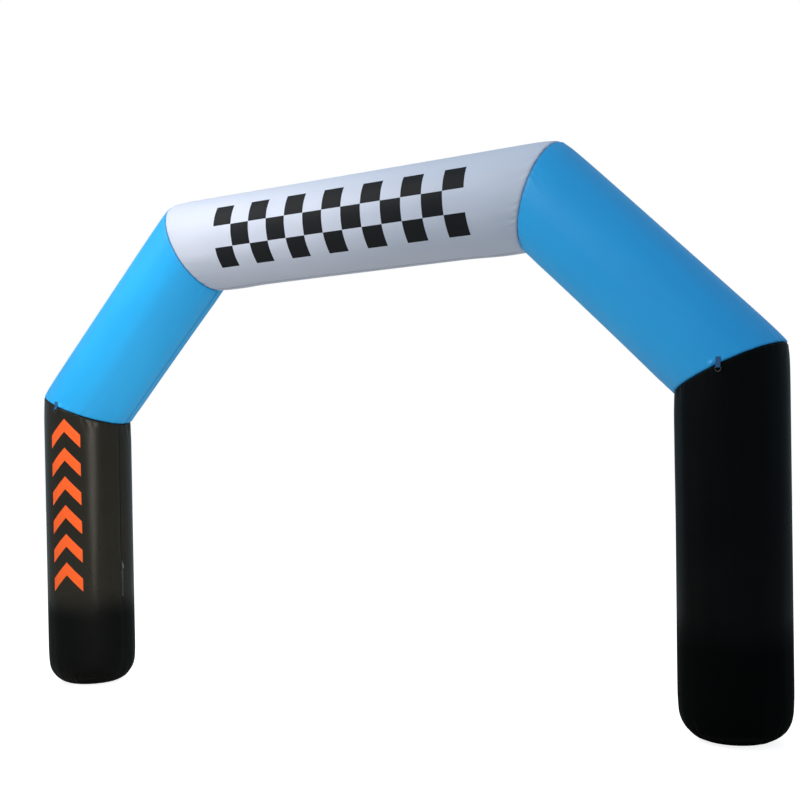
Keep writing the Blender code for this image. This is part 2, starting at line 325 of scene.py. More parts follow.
class TubePlan:
    """Where one tube lies: its axis, its ends and the seam planes that cut it."""

    def __init__(self, name, sizes):
        corners = [
            Vector((-sizes.leg_axis_x, 0, 0)),
            Vector((-sizes.leg_axis_x, 0, sizes.knee_z)),
            Vector((-sizes.beam_bend_x, 0, sizes.beam_z)),
            Vector((sizes.beam_bend_x, 0, sizes.beam_z)),
            Vector((sizes.leg_axis_x, 0, sizes.knee_z)),
            Vector((sizes.leg_axis_x, 0, 0)),
        ]
        axes = [(after - before).normalized() for before, after in zip(corners, corners[1:])]
        index = TUBES[name]["corner"]
        self.name = name
        self.start = corners[index]
        self.end = corners[index + 1]
        self.axis = axes[index]
        self.length = (self.end - self.start).length
        self.across = self.axis.cross(FRONT)
        self.radius = sizes.tube_radius
        self.seams = []
        if index > 0:
            self.seams.append(self.seam_plane(self.start, axes[index - 1], 1, sizes))
        if index < LAST_TUBE:
            self.seams.append(self.seam_plane(self.end, axes[index + 1], -1, sizes))
        self.foot = {0: (self.start, 1), LAST_TUBE: (self.end, -1)}.get(index)
        inner = sum((seam["inner"] for seam in self.seams), Vector()).normalized()
        inner_angle = float(np.arctan2(inner.dot(self.across), inner.dot(FRONT)))
        self.inner_angle = inner_angle * TUBES[name].get("seam_turn", 1.0)

    def seam_plane(self, corner, other_axis, inward, sizes):
        """The slanting plane at one end, and which side of the tube is on the inside of the bend."""
        normal = (self.axis + other_axis).normalized() * inward
        turn = (other_axis - self.axis) * -inward
        inner = (turn - self.axis * turn.dot(self.axis)).normalized()
        point = corner + normal * (sizes.seam_gap / 2)
        return {"point": point, "normal": normal, "inner": inner, "inward": inward}

    def coordinates(self, points):
        """Angle from the front line, distance from the axis and distance along it, for many points."""
        offset = points - np.array(self.start)
        along = offset @ np.array(self.axis)
        front = offset @ np.array(FRONT)
        side = offset @ np.array(self.across)
        return np.arctan2(side, front), np.hypot(front, side), along

    def radials(self, angles):
        """Unit vectors pointing out from the axis."""
        return np.outer(np.cos(angles), np.array(FRONT)) + np.outer(np.sin(angles), np.array(self.across))

    def place(self, angles, radii, along):
        """Points from their coordinates."""
        spokes = self.radials(angles) * radii[:, None]
        return np.array(self.start) + spokes + along[:, None] * np.array(self.axis)

    def seam_along(self, seam, angles, radii):
        """Where lines parallel to the axis at these angles and radii meet a seam plane."""
        normal = np.array(seam["normal"])
        ahead = float(Vector(seam["normal"]).dot(self.axis))
        reach = (np.array(seam["point"]) - np.array(self.start)) @ normal
        return (reach - (self.radials(angles) @ normal) * radii) / ahead

    def seam_distance(self, seam, angles, radii, along):
        """Distance along the tube from a seam."""
        return (along - self.seam_along(seam, angles, radii)) * seam["inward"]


def mesh_points(obj):
    """The object's vertex positions as an array."""
    points = np.empty(len(obj.data.vertices) * 3)
    obj.data.vertices.foreach_get("co", points)
    return points.reshape(-1, 3)


def set_mesh_points(obj, points):
    """Writes an array of positions back."""
    obj.data.vertices.foreach_set("co", np.ascontiguousarray(points).ravel())
    obj.data.update()


def deselect_all():
    """Leaves object mode with nothing selected."""
    if bpy.context.object and bpy.context.object.mode != "OBJECT":
        bpy.ops.object.mode_set(mode="OBJECT")
    bpy.ops.object.select_all(action="DESELECT")


def make_active(obj):
    """Selects one object alone."""
    deselect_all()
    obj.select_set(True)
    bpy.context.view_layer.objects.active = obj


def apply_place(obj):
    """Puts an object's place into its mesh."""
    make_active(obj)
    bpy.ops.object.transform_apply(location=True, rotation=True, scale=True)


def edit_all(obj):
    """Opens an object in edit mode with everything selected."""
    make_active(obj)
    bpy.ops.object.mode_set(mode="EDIT")
    bpy.ops.mesh.select_all(action="SELECT")


def face_outward(obj):
    """Turns all faces outward."""
    edit_all(obj)
    bpy.ops.mesh.normals_make_consistent(inside=False)
    bpy.ops.object.mode_set(mode="OBJECT")


def subdivide(obj, cuts):
    """Cuts every face of an object up evenly."""
    edit_all(obj)
    bpy.ops.mesh.subdivide(number_cuts=cuts)
    bpy.ops.object.mode_set(mode="OBJECT")


def shade(obj, crease):
    """Shades an object smooth, apart from creases steeper than an angle."""
    make_active(obj)
    bpy.ops.object.shade_smooth_by_angle(angle=crease)


def select_edges(obj, wanted):
    """In edit mode, selects the edges for which wanted(edge) is true."""
    bpy.ops.mesh.select_mode(type="EDGE")
    bpy.ops.mesh.select_all(action="DESELECT")
    shape = bmesh.from_edit_mesh(obj.data)
    for edge in shape.edges:
        edge.select_set(wanted(edge))
    bmesh.update_edit_mesh(obj.data)


def cut_tube(plan, sizes):
    """A cylinder cut off at the seam planes, with a rounded foot on a leg and loops along its length."""
    spare = sizes.tube_radius
    start = plan.start if plan.foot and plan.foot[1] == 1 else plan.start - plan.axis * spare
    end = plan.end if plan.foot and plan.foot[1] == -1 else plan.end + plan.axis * spare
    basis = Matrix((FRONT, plan.across, plan.axis)).transposed()
    deselect_all()
    bpy.ops.mesh.primitive_cylinder_add(
        vertices=sizes.columns,
        radius=sizes.tube_radius,
        depth=(end - start).length,
        end_fill_type="NGON",
        location=(start + end) / 2,
        rotation=basis.to_euler(),
    )
    tube = bpy.context.object
    tube.name = f"{plan.name}_cloth"
    apply_place(tube)
    crowd_columns(tube, plan, sizes.crowding)
    bpy.ops.object.mode_set(mode="EDIT")
    for seam in plan.seams:
        bpy.ops.mesh.select_all(action="SELECT")
        bpy.ops.mesh.bisect(
            plane_co=seam["point"], plane_no=seam["normal"], use_fill=True, clear_inner=True
        )
    if plan.foot:
        ground = plan.foot[0].z
        select_edges(
            tube, lambda edge: all(abs(vert.co.z - ground) < sizes.seam_gap for vert in edge.verts)
        )
        bpy.ops.mesh.bevel(offset=sizes.foot_round, segments=sizes.foot_segments, affect="EDGES")
    select_edges(tube, lambda edge: runs_along(edge, plan.axis, sizes.tube_radius))
    loops = sizes.middle_loops + len(plan.seams) * len(SEAM_LOOPS)
    bpy.ops.mesh.subdivide(number_cuts=loops)
    bpy.ops.object.mode_set(mode="OBJECT")
    slide_loops(tube, plan, sizes, loops)
    return tube


def runs_along(edge, axis, shortest):
    """Whether an edge is long and parallel to the axis."""
    reach = edge.verts[1].co - edge.verts[0].co
    return reach.length > shortest and abs(reach.normalized().dot(axis)) > ON_WALL


def crowd_columns(tube, plan, crowding):
    """Moves the lines along the tube closer together near its lengthwise seam."""
    angles, radii, along = plan.coordinates(mesh_points(tube))
    angles -= crowding * np.sin(angles - plan.inner_angle)
    set_mesh_points(tube, plan.place(angles, radii, along))


def slide_loops(tube, plan, sizes, loops):
    """Moves the loops along the tube so that they lie close together near the seams."""
    angles, radii, along = plan.coordinates(mesh_points(tube))
    low = np.full(len(along), 0.0)
    high = np.full(len(along), plan.length)
    near_low, near_high = [], []
    for seam in plan.seams:
        edge = plan.seam_along(seam, angles, radii)
        if seam["inward"] == 1:
            low, near_low = edge, list(SEAM_LOOPS)
        else:
            high, near_high = edge, list(SEAM_LOOPS)
    if plan.foot and plan.foot[1] == 1:
        low = low + sizes.foot_round
    if plan.foot and plan.foot[1] == -1:
        high = high - sizes.foot_round
    span = high - low
    index = np.rint((along - low) / span * (loops + 1)).astype(int)
    on_loop = (radii > sizes.tube_radius * ON_WALL) & (along > low + TOUCH) & (along < high - TOUCH)
    first = near_low[-1] if near_low else 0.0
    last = near_high[-1] if near_high else 0.0
    middle = loops - len(near_low) - len(near_high)
    for number in range(1, loops + 1):
        here = on_loop & (index == number)
        if number <= len(near_low):
            along[here] = low[here] + near_low[number - 1]
        elif number > loops - len(near_high):
            along[here] = high[here] - near_high[loops - number]
        else:
            at = (number - len(near_low)) / (middle + 1)
            along[here] = (low + first + (span - first - last) * at)[here]
    set_mesh_points(tube, plan.place(angles, radii, along))


def roll_in(distance, width):
    """How far the cloth rolls in at this distance from a seam: a quarter circle down to the seam."""
    near = np.clip(distance, 0.0, width)
    return width - np.sqrt(np.maximum(width**2 - (width - near) ** 2, 0.0))


def tube_seam_shape(plan, seam, seams, angles, distance):
    """How far the cloth is drawn in by one seam between tubes."""
    outer = np.clip(-(plan.radials(angles) @ np.array(seam["inner"])), 0.0, 1.0) ** 2
    pull = seams.corner_pull * outer * np.exp(-((distance / seams.corner_reach) ** 2))
    return roll_in(distance, seams.seam_round) + pull


def draw_in(tube, plan, sizes, seams, slack):
    """Draws the cut tube in at its seams, and makes it a little smaller all over by slack."""
    angles, radii, along = plan.coordinates(mesh_points(tube))
    on_cloth = radii > sizes.tube_radius * ON_WALL
    goal = radii.copy()
    distances = []
    for seam in plan.seams:
        distance = plan.seam_distance(seam, angles, radii, along)
        distances.append(distance)
        goal = goal - np.where(on_cloth, tube_seam_shape(plan, seam, seams, angles, distance), 0.0)
    goal = np.where(radii > sizes.tube_radius * 0.5, goal * (1 - slack), goal)
    for seam, distance in zip(plan.seams, distances):
        moved = plan.seam_along(seam, angles, goal) + distance * seam["inward"]
        closeness = np.exp(-((distance / seams.corner_reach) ** 2))
        along = np.where(on_cloth, along + (moved - along) * closeness, along)
    set_mesh_points(tube, plan.place(angles, goal, along))


def seam_rim(tube, plan):
    """Which vertices lie on a seam plane."""
    points = mesh_points(tube)
    rim = np.zeros(len(points), bool)
    for seam in plan.seams:
        offset = (points - np.array(seam["point"])) @ np.array(seam["normal"])
        rim |= np.abs(offset) < RIM_REACH
    return rim


def blow_up(tube, plan, sizes, air):
    """Fills the cloth with air while its seams and the ring that it stands on stay where they are."""
    scene = bpy.context.scene
    before = mesh_points(tube)
    held = seam_rim(tube, plan)
    if plan.foot:
        held |= before[:, 2] < sizes.seam_gap
    group = tube.vertex_groups.new(name="held")
    group.add([int(index) for index in np.flatnonzero(held)], 1.0, "REPLACE")
    if plan.foot:
        soft = ~held & (before[:, 2] < sizes.foot_round)
        group.add([int(index) for index in np.flatnonzero(soft)], FOOT_HOLD, "REPLACE")
    make_active(tube)
    cloth = tube.modifiers.new("air", "CLOTH")
    settings = cloth.settings
    settings.quality = 5
    settings.mass = 0.3
    settings.air_damping = 3
    settings.tension_stiffness = 20
    settings.compression_stiffness = 20
    settings.shear_stiffness = 5
    settings.bending_stiffness = 0.3
    settings.vertex_group_mass = group.name
    settings.pin_stiffness = 1
    settings.use_pressure = True
    settings.uniform_pressure_force = air.pressure
    settings.effector_weights.gravity = 0
    cloth.point_cache.frame_start = 1
    cloth.point_cache.frame_end = air.steps
    scene.frame_start = 1
    scene.frame_end = air.steps
    for step in range(1, air.steps + 1):
        scene.frame_set(step)
    blown = tube.evaluated_get(bpy.context.evaluated_depsgraph_get())
    after = mesh_points(blown)
    tube.modifiers.remove(cloth)
    tube.vertex_groups.remove(group)
    scene.frame_set(1)
    move = after - before
    reach = np.linalg.norm(move, axis=1)
    move *= np.minimum(1.0, air.swell / np.maximum(reach, 1e-9))[:, None]
    set_mesh_points(tube, before + move)


def set_girth(tube, plan, sizes, seams):
    """Brings the cloth back to the tube's own radius, evenly, away from the held rims."""
    angles, radii, along = plan.coordinates(mesh_points(tube))
    on_cloth = radii > sizes.tube_radius * NEAR_WALL
    middle = on_cloth & (along > plan.length * 0.4) & (along < plan.length * 0.6)
    spare = sizes.tube_radius - radii[middle].mean()
    weight = np.where(on_cloth, 1.0, 0.0)
    for seam in plan.seams:
        distance = plan.seam_distance(seam, angles, radii, along)
        weight *= np.clip(distance / (2 * seams.seam_round), 0.0, 1.0)
    if plan.foot:
        height = mesh_points(tube)[:, 2]
        weight *= np.clip(height / sizes.foot_round, 0.0, 1.0)
    set_mesh_points(tube, plan.place(angles, radii + spare * weight, along))


def smooth_once(tube):
    """Opens the flat ends, where tubes meet and where a foot stands, smooths the wall and closes them."""
    make_active(tube)
    bpy.ops.object.mode_set(mode="EDIT")
    bpy.ops.mesh.select_mode(type="FACE")
    bpy.ops.mesh.select_all(action="DESELECT")
    shape = bmesh.from_edit_mesh(tube.data)
    for face in shape.faces:
        face.select_set(len(face.verts) > 4)
    bmesh.update_edit_mesh(tube.data)
    bpy.ops.mesh.delete(type="ONLY_FACE")
    bpy.ops.object.mode_set(mode="OBJECT")
    apply_modifier(tube, "SUBSURF", levels=1, render_levels=1)
    edit_all(tube)
    bpy.ops.mesh.fill_holes(sides=0)
    bpy.ops.object.mode_set(mode="OBJECT")
    face_outward(tube)


def mirrored_copy(tube, name):
    """The twin of a tube on the other side of the arch, with a mesh of its own."""
    make_active(tube)
    bpy.ops.object.duplicate()
    twin = bpy.context.object
    twin.name = name
    twin.data.name = name
    twin.scale.x = -1.0
    apply_place(twin)
    face_outward(twin)
    return twin


# --- Puckers, ripples and sewn lines -----------------------------------------------------------------


def pucker_row(draw, spacing, girth):
    """Where the puckers of one seam lie round the tube, and how strong, long and wide each one is."""
    count = int(girth / spacing)
    places = (np.arange(count) + draw.uniform(-0.38, 0.38, count)) * girth / count
    return [
        {"at": place, "depth": depth, "length": reach, "width": width, "lean": lean}
        for place, depth, reach, width, lean in zip(
            places,
            draw.uniform(0.15, 1.0, count) ** 1.4,
            draw.uniform(0.45, 1.35, count),
            draw.uniform(0.20, 0.36, count) * spacing,
            draw.uniform(-0.22, 0.22, count),
        )
    ]


def puckers(draw, arc, distance, girth, seams, strength):
    """Valleys that run from a seam into the cloth and die out, each with a low ridge beside it."""
    relief = np.zeros(len(arc))
    near = np.clip(distance, 0.0, None)
    for row in pucker_row(draw, seams.pucker_spacing, girth):
        reach = seams.pucker_length * row["length"]
        offset = arc - row["at"] - row["lean"] * near
        offset = (offset + girth / 2) % girth - girth / 2
        width = row["width"] * (1 + 0.9 * near / reach)
        fade = np.exp(-((near / reach) ** 1.6))
        valley = np.exp(-((offset / width) ** 2))
        ridge = 0.5 * np.exp(-(((offset - 1.9 * width) / width) ** 2))
        relief -= seams.pucker_depth * row["depth"] * fade * (valley - ridge)
    return relief * strength


def sewn_ridge(distance, seams):
    """The doubled cloth beside a seam: raised a little, and pressed down along the stitches."""
    step = 0.5 - 0.5 * np.tanh((distance - seams.ridge_width) / (0.16 * seams.ridge_width))
    pressed = np.exp(-(((distance - 0.55 * seams.ridge_width) / PRESSED_WIDTH) ** 2))
    return seams.ridge * (step - 0.6 * pressed)


def ripples(draw, angles, along, height):
    """Faint uneven ripples that run along the tube, as taut cloth shows under a low light."""
    relief = np.zeros(len(angles))
    for _ in range(RIPPLE_COUNT):
        waves = int(draw.integers(3, 19))
        drift = draw.uniform(-1.6, 1.6)
        beat = draw.uniform(0.5, 2.6)
        phase, shift = draw.uniform(0, tau, 2)
        swell = 0.5 + 0.5 * np.sin(beat * along + shift)
        relief += np.sin(waves * angles + drift * along + phase) * swell / (1.0 + 0.10 * waves)
    return relief * height / 4.0


def lengthwise_seam(draw, arc, along, seams):
    """The joining seam along the inner side of a tube: a valley, its folded flap, and short puckers."""
    off = np.abs(arc)
    valley = -seams.sewn_depth * np.exp(-((off / VALLEY_WIDTH) ** 2))
    groove = -1.2 * seams.ridge * np.exp(-((off / GROOVE_WIDTH) ** 2))
    past_flap = (np.abs(arc - FLAP_PLACE) - FLAP_HALF_WIDTH) / FLAP_EDGE
    flap = 2.0 * seams.ridge / (1.0 + np.exp(past_flap))
    relief = valley + groove + flap
    span = float(along.max() - along.min())
    count = int(span / (1.3 * seams.pucker_spacing))
    places = along.min() + (np.arange(count) + draw.uniform(0.1, 0.9, count)) * span / count
    for place, depth in zip(places, draw.uniform(0.1, 0.6, count)):
        reach = 0.020 + 0.030 * depth
        across = np.exp(-((off / reach) ** 1.5))
        here = np.exp(-(((along - place) / SHORT_PUCKER_WIDTH) ** 2))
        relief -= 0.8 * seams.pucker_depth * depth * across * here
    return relief


def foot_seam(plan, sizes, height, radii):
    """Arc distance round the foot's edge from the seam between the wall and the base, halfway round it."""
    slope = foot_slope(plan, sizes, sizes.foot_round - height, radii)
    over = np.maximum(height - sizes.foot_round, 0.0)
    return np.where(over > 0, over + sizes.foot_round * pi / 4, (pi / 4 - slope) * sizes.foot_round)


def foot_slope(plan, sizes, drop, radii):
    """Angle under the level line at which a point lies on the rounded edge of a foot."""
    return np.arctan2(drop, np.maximum(radii - plan.radius + sizes.foot_round, TOUCH / 10))


def shape_cloth(tube, plan, sizes, seams):
    """Gives a blown-up tube the relief of its seams, puckers and ripples, and keeps it inside its seams."""
    draw = np.random.default_rng(TUBES[plan.name]["seed"])
    points = mesh_points(tube)
    angles, radii, along = plan.coordinates(points)
    height = points[:, 2]
    girth = tau * plan.radius
    arc = angles * plan.radius
    sewn_arc = ((angles - plan.inner_angle + pi) % tau - pi) * plan.radius
    on_cloth = radii > 0.6 * plan.radius
    if plan.foot:
        on_cloth &= height > TOUCH
    relief = ripples(draw, angles, along, seams.ripple)
    relief += lengthwise_seam(draw, sewn_arc, along, seams)
    nearest = np.full(len(points), FAR)
    for seam in plan.seams:
        distance = plan.seam_distance(seam, angles, radii, along)
        inner = np.clip(plan.radials(angles) @ np.array(seam["inner"]), -1.0, 1.0)
        gathered = 0.75 + 0.65 * np.clip(inner, 0.0, 1.0) + 0.25 * np.clip(-inner, 0.0, 1.0)
        relief += puckers(draw, arc, distance, girth, seams, gathered)
        relief += sewn_ridge(distance, seams)
        relief *= np.clip(distance / SEAM_FADE, 0.0, 1.0)
        nearest = np.minimum(nearest, distance)
    if plan.foot:
        from_seam = foot_seam(plan, sizes, height, radii)
        both_sides = puckers(draw, arc, np.abs(from_seam), girth, seams, 1.5)
        relief += both_sides + sewn_ridge(np.abs(from_seam), seams)
        relief -= FOOT_GROOVE_DEPTH * np.exp(-((from_seam / GROOVE_WIDTH) ** 2))
        relief *= np.clip(height / GROUND_FADE, 0.0, 1.0)
        nearest = np.minimum(nearest, np.abs(from_seam))
        outward = foot_outward(plan, sizes, points, angles)
    else:
        outward = plan.radials(angles)
    relief += gathered_fold(plan, seams, angles, radii, along)
    relief *= clear_of_fittings(points)
    points = points + outward * np.where(on_cloth, relief, 0.0)[:, None]
    for seam in plan.seams:
        normal = np.array(seam["normal"])
        sunk = np.minimum((points - np.array(seam["point"])) @ normal, 0.0)
        points = points - sunk[:, None] * normal
    if plan.foot:
        points[:, 2] = np.maximum(points[:, 2], 0.0)
    set_mesh_points(tube, points)
    store_maps(tube, plan, angles, along, nearest)


def gathered_fold(plan, seams, angles, radii, along):
    """The cloth that a tie tab gathers up on both sides of itself, above the knee seam of a diagonal."""
    if plan.name not in ("diagonal_left", "diagonal_right"):
        return 0.0
    knee = min(plan.seams, key=lambda seam: seam["point"].z)
    distance = plan.seam_distance(knee, angles, radii, along)
    arc = angles * plan.radius
    spread = np.exp(-((np.abs(arc) / seams.fold_width) ** 4))
    rise = np.exp(-(((distance - 0.45 * seams.fold_rise) / (0.40 * seams.fold_rise)) ** 2))
    slant = 9.0 * distance / seams.fold_rise
    creases = 0.75 + 0.25 * np.cos(arc * tau / FOLD_CREASE_SPACING + slant)
    return seams.fold_height * spread * rise * creases


def clear_of_fittings(points):
    """0 under a fitting and 1 away from it, so that the cloth lies flat under it."""
    factor = np.ones(len(points))
    for node in FITTINGS:
        low, high = (np.array(corner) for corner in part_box(node))
        away = np.linalg.norm(np.maximum(np.maximum(low - points, points - high), 0.0), axis=1)
        factor = np.minimum(factor, np.clip((away - FITTING_CLEAR) / FITTING_FADE, 0.0, 1.0))
    return factor


def foot_outward(plan, sizes, points, angles):
    """Unit vectors out of the cloth of a leg: level on its wall, and turning down round its foot."""
    outward = plan.radials(angles)
    height = points[:, 2]
    _, radii, _ = plan.coordinates(points)
    slope = foot_slope(plan, sizes, np.maximum(sizes.foot_round - height, 0.0), radii)
    outward = outward * np.cos(slope)[:, None]
    outward[:, 2] -= np.sin(slope)
    return outward


def store_maps(tube, plan, angles, along, nearest):
    """Writes the cloth's map, in metres round and along the tube, and the distances from its seams."""
    mesh = tube.data
    corners = np.empty(len(mesh.loops), int)
    mesh.loops.foreach_get("vertex_index", corners)
    firsts = np.empty(len(mesh.polygons), int)
    totals = np.empty(len(mesh.polygons), int)
    mesh.polygons.foreach_get("loop_start", firsts)
    mesh.polygons.foreach_get("loop_total", totals)
    lead = np.repeat(corners[firsts], totals)
    own = (angles - plan.inner_angle) % tau - tau + plan.inner_angle
    turned = own[lead] + ((own[corners] - own[lead] + pi) % tau - pi)
    layer = mesh.uv_layers.new(name=CLOTH_MAP)
    flat = np.stack([turned * plan.radius, along[corners]], axis=1)
    layer.data.foreach_set("uv", flat.ravel())
    sewn = np.abs((angles - plan.inner_angle + pi) % tau - pi) * plan.radius
    for name, values in ((SEAM_DISTANCE, nearest), (SEWN_DISTANCE, sewn)):
        attribute = mesh.attributes.new(name, "FLOAT", "POINT")
        attribute.data.foreach_set("value", values)


def build_tube(name, context):
    """A tube cut, blown up and smoothed; its relief is given later."""
    scene = context.scene
    sizes, seams, air = scene.arch_sizes, scene.arch_seams, scene.arch_air
    plan = TubePlan(name, sizes)
    tube = cut_tube(plan, sizes)
    draw_in(tube, plan, sizes, seams, air.slack)
    blow_up(tube, plan, sizes, air)
    set_girth(tube, plan, sizes, seams)
    smooth_once(tube)
    return tube


def finish_tube(tube, name, context, material):
    """Gives a tube its relief, its maps and its material, and ties it to the frame."""
    scene = context.scene
    shape_cloth(tube, TubePlan(name, scene.arch_sizes), scene.arch_sizes, scene.arch_seams)
    shade(tube, CLOTH_CREASE)
    dress(tube, material, TUBES[name]["slot"], name)


def dress(piece, material, slot, *nodes):
    """Gives a piece its material, says which body it rides on, and hides the nodes that it stands for."""
    piece.data.materials.clear()
    piece.data.materials.append(material)
    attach(piece, BODY)
    if nodes:
        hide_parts(*nodes)


# --- Fittings ----------------------------------------------------------------------------------------


def line_piece(name, points, closed=False, **settings):
    """A mesh that follows a line through the points: the bare line, or a wire with a bevel's settings."""
    line = bpy.data.curves.new(name, "CURVE")
    line.dimensions = "3D"
    for setting, value in settings.items():
        setattr(line, setting, value)
    spline = line.splines.new("POLY")
    spline.points.add(len(points) - 1)
    for point, place in zip(spline.points, points):
        point.co = (*place, 1.0)
    spline.use_cyclic_u = closed
    piece = bpy.data.objects.new(name, line)
    bpy.context.scene.collection.objects.link(piece)
    make_active(piece)
    bpy.ops.object.convert(target="MESH")
    return bpy.context.object


def apply_modifier(piece, kind, **settings):
    """Adds one modifier and applies it."""
    make_active(piece)
    modifier = piece.modifiers.new(kind.lower(), kind)
    for name, value in settings.items():
        setattr(modifier, name, value)
    bpy.ops.object.modifier_apply(modifier=modifier.name)


def join_pieces(pieces, name):
    """Joins pieces into the first one."""
    deselect_all()
    for piece in pieces:
        piece.select_set(True)
    bpy.context.view_layer.objects.active = pieces[0]
    bpy.ops.object.join()
    joined = bpy.context.object
    joined.name = name
    joined.data.name = name
    return joined


def copies_along(piece, places):
    """The piece moved to the first place, with a copy of its own at each other place."""
    made = []
    for number, place in enumerate(places):
        if number:
            make_active(piece)
            bpy.ops.object.duplicate()
            made.append(bpy.context.object)
        else:
            made.append(piece)
        made[-1].location = place
    for copy in made:
        apply_place(copy)
    return made


def strap_path(sizes, low, high):
    """The strap's path from its sewn end, down, round the ring and back up, seen from the side."""
    back = high.y - sizes.webbing / 2
    eye_y = low.y + sizes.eye_radius
    eye_z = low.z + sizes.eye_radius
    bend = sizes.eye_radius - sizes.webbing / 2
    turn = np.radians(np.linspace(190, 430, 21))
    round_ring = [(eye_y - bend * cos(angle), eye_z + bend * sin(angle)) for angle in turn]
    front = back - 1.05 * sizes.webbing
    down = [
        (back, high.z),
        (back, high.z - 0.020),
        (back, eye_z + 0.016),
        (back - 0.0001, eye_z + 0.008),
    ]
    up = [
        (front - 0.0006, eye_z + 0.0085),
        (front, eye_z + 0.014),
        (front, high.z - 0.020),
        (front, high.z - 0.001),
    ]
    return down + round_ring + up


def build_strap(sizes, node):
    """A folded webbing strap with its fold round the ring and its box of stitches."""
    low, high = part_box(node)
    middle = (low.x + high.x) / 2
    path = [Vector((low.x, y, z)) for y, z in strap_path(sizes, low, high)]
    strap = line_piece(f"{node}_strap", path)
    bpy.ops.object.mode_set(mode="EDIT")
    bpy.ops.mesh.select_mode(type="EDGE")
    bpy.ops.mesh.select_all(action="SELECT")
    for _ in range(STRAP_STEPS):
        bpy.ops.mesh.extrude_region_move(
            TRANSFORM_OT_translate={"value": ((high.x - low.x) / STRAP_STEPS, 0, 0)}
        )
    bpy.ops.object.mode_set(mode="OBJECT")
    apply_modifier(strap, "SOLIDIFY", thickness=sizes.webbing, offset=0.0)
    apply_modifier(strap, "BEVEL", width=sizes.webbing / 5, segments=2, limit_method="ANGLE")
    face_outward(strap)
    face = high.y - 2.05 * sizes.webbing
    box_low, box_high = high.z - BOX_DROP, high.z - BOX_INSET
    left, right = low.x + BOX_INSET, high.x - BOX_INSET
    line = high.z - LINE_DROP
    runs = [
        ((left, box_low), (right, box_low)),
        ((left, box_high), (right, box_high)),
        ((left, box_low), (left, box_high)),
        ((right, box_low), (right, box_high)),
        ((left, box_low), (right, box_high)),
        ((left, box_high), (right, box_low)),
        ((middle - LINE_HALF, line), (middle + LINE_HALF, line)),
    ]
    stitches = []
    for (x1, z1), (x2, z2) in runs:
        stitches += stitch_run(sizes, Vector((x1, face, z1)), Vector((x2, face, z2)))
    return strap, join_pieces(stitches, f"{node}_stitches")


def stitch_run(sizes, start, end):
    """A straight row of stitches between two points on a strap's front."""
    reach = end - start
    count = max(1, int(reach.length / sizes.stitch_pitch))
    deselect_all()
    bpy.ops.mesh.primitive_uv_sphere_add(segments=8, ring_count=6, radius=sizes.stitch_pitch * 0.42)
    stitch = bpy.context.object
    stitch.scale = (0.32, 0.26, 1.0)
    stitch.rotation_euler = (0, np.arctan2(reach.x, reach.z), 0)
    apply_place(stitch)
    bpy.ops.object.shade_smooth()
    return copies_along(stitch, [start + reach * ((number + 0.5) / count) for number in range(count)])


def build_ring(sizes, node):
    """A ring bent from round wire, closed by a weld on its upper bar."""
    low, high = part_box(node)
    wire = sizes.ring_wire
    corner = 0.004
    half = (high.x - low.x) / 2 - wire
    middle = (low.x + high.x) / 2
    top, bottom = high.z - wire, low.z + wire
    y = (low.y + high.y) / 2
    points = []
    for centre, radius, begin, sweep in (
        ((half - corner, -corner), (corner, corner), pi / 2, -pi / 2),
        ((0.0, -sizes.ring_side), (half, top - bottom - sizes.ring_side), 0.0, -pi),
        ((corner - half, -corner), (corner, corner), pi, -pi / 2),
    ):
        for step in range(RING_STEPS + 1):
            angle = begin + sweep * step / RING_STEPS
            across = middle + centre[0] + radius[0] * cos(angle)
            points.append((across, y, top + centre[1] + radius[1] * sin(angle)))
    ring = line_piece(f"{node}_steel", points, closed=True, bevel_depth=wire, bevel_resolution=4)
    bpy.ops.object.shade_smooth()
    deselect_all()
    bpy.ops.mesh.primitive_uv_sphere_add(
        segments=20, ring_count=12, radius=wire * 1.12, location=(middle - half * 0.55, y, top)
    )
    weld = bpy.context.object
    weld.scale = (0.75, 0.97, 0.97)
    apply_place(weld)
    bpy.ops.object.shade_smooth()
    return join_pieces([ring, weld], f"{node}_steel")


def build_zip(sizes):
    """The zip's tape with its rows of teeth, its slider and its pull."""
    low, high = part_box("zip_tape")
    face = low.x + sizes.tape_thickness
    tape = add_block("zip_tape_cloth", low, Vector((face, high.y, high.z)))
    subdivide(tape, 30)
    points = mesh_points(tape)
    middle = (low.y + high.y) / 2
    side = (points[:, 1] - middle) / ((high.y - low.y) / 2)
    upper = points[:, 0] > (low.x + face) / 2
    sag = 0.0003 * np.sin(points[:, 2] * tau / 0.043) * np.abs(side)
    raised = 0.0004 * np.exp(-((np.abs(side) - 0.30) ** 2) / 0.004)
    points[:, 0] += np.where(upper, raised - 0.0003 * np.abs(side) + sag, 0.0)
    set_mesh_points(tape, points)
    shade(tape, TAPE_CREASE)
    half = Vector((high.x - face, sizes.tooth_reach, sizes.tooth_pitch * 0.42)) / 2
    tooth = add_block("tooth", -half, half)
    apply_modifier(tooth, "BEVEL", width=sizes.tooth_pitch * 0.1, segments=1)
    margin = 0.004
    count = int((high.z - low.z - 2 * margin) / sizes.tooth_pitch)
    places = []
    for number in range(count):
        lean = 0.22 * sizes.tooth_reach * (-1) ** number
        height = low.z + margin + (number + 0.5) * sizes.tooth_pitch
        places.append(((face + high.x) / 2, middle + lean, height))
    teeth = join_pieces(copies_along(tooth, places), "zip_teeth")
    return tape, teeth


def add_block(name, low, high):
    """A block between two corners."""
    deselect_all()
    bpy.ops.mesh.primitive_cube_add(size=1, location=(low + high) / 2)
    block = bpy.context.object
    block.name = name
    block.scale = high - low
    apply_place(block)
    return block


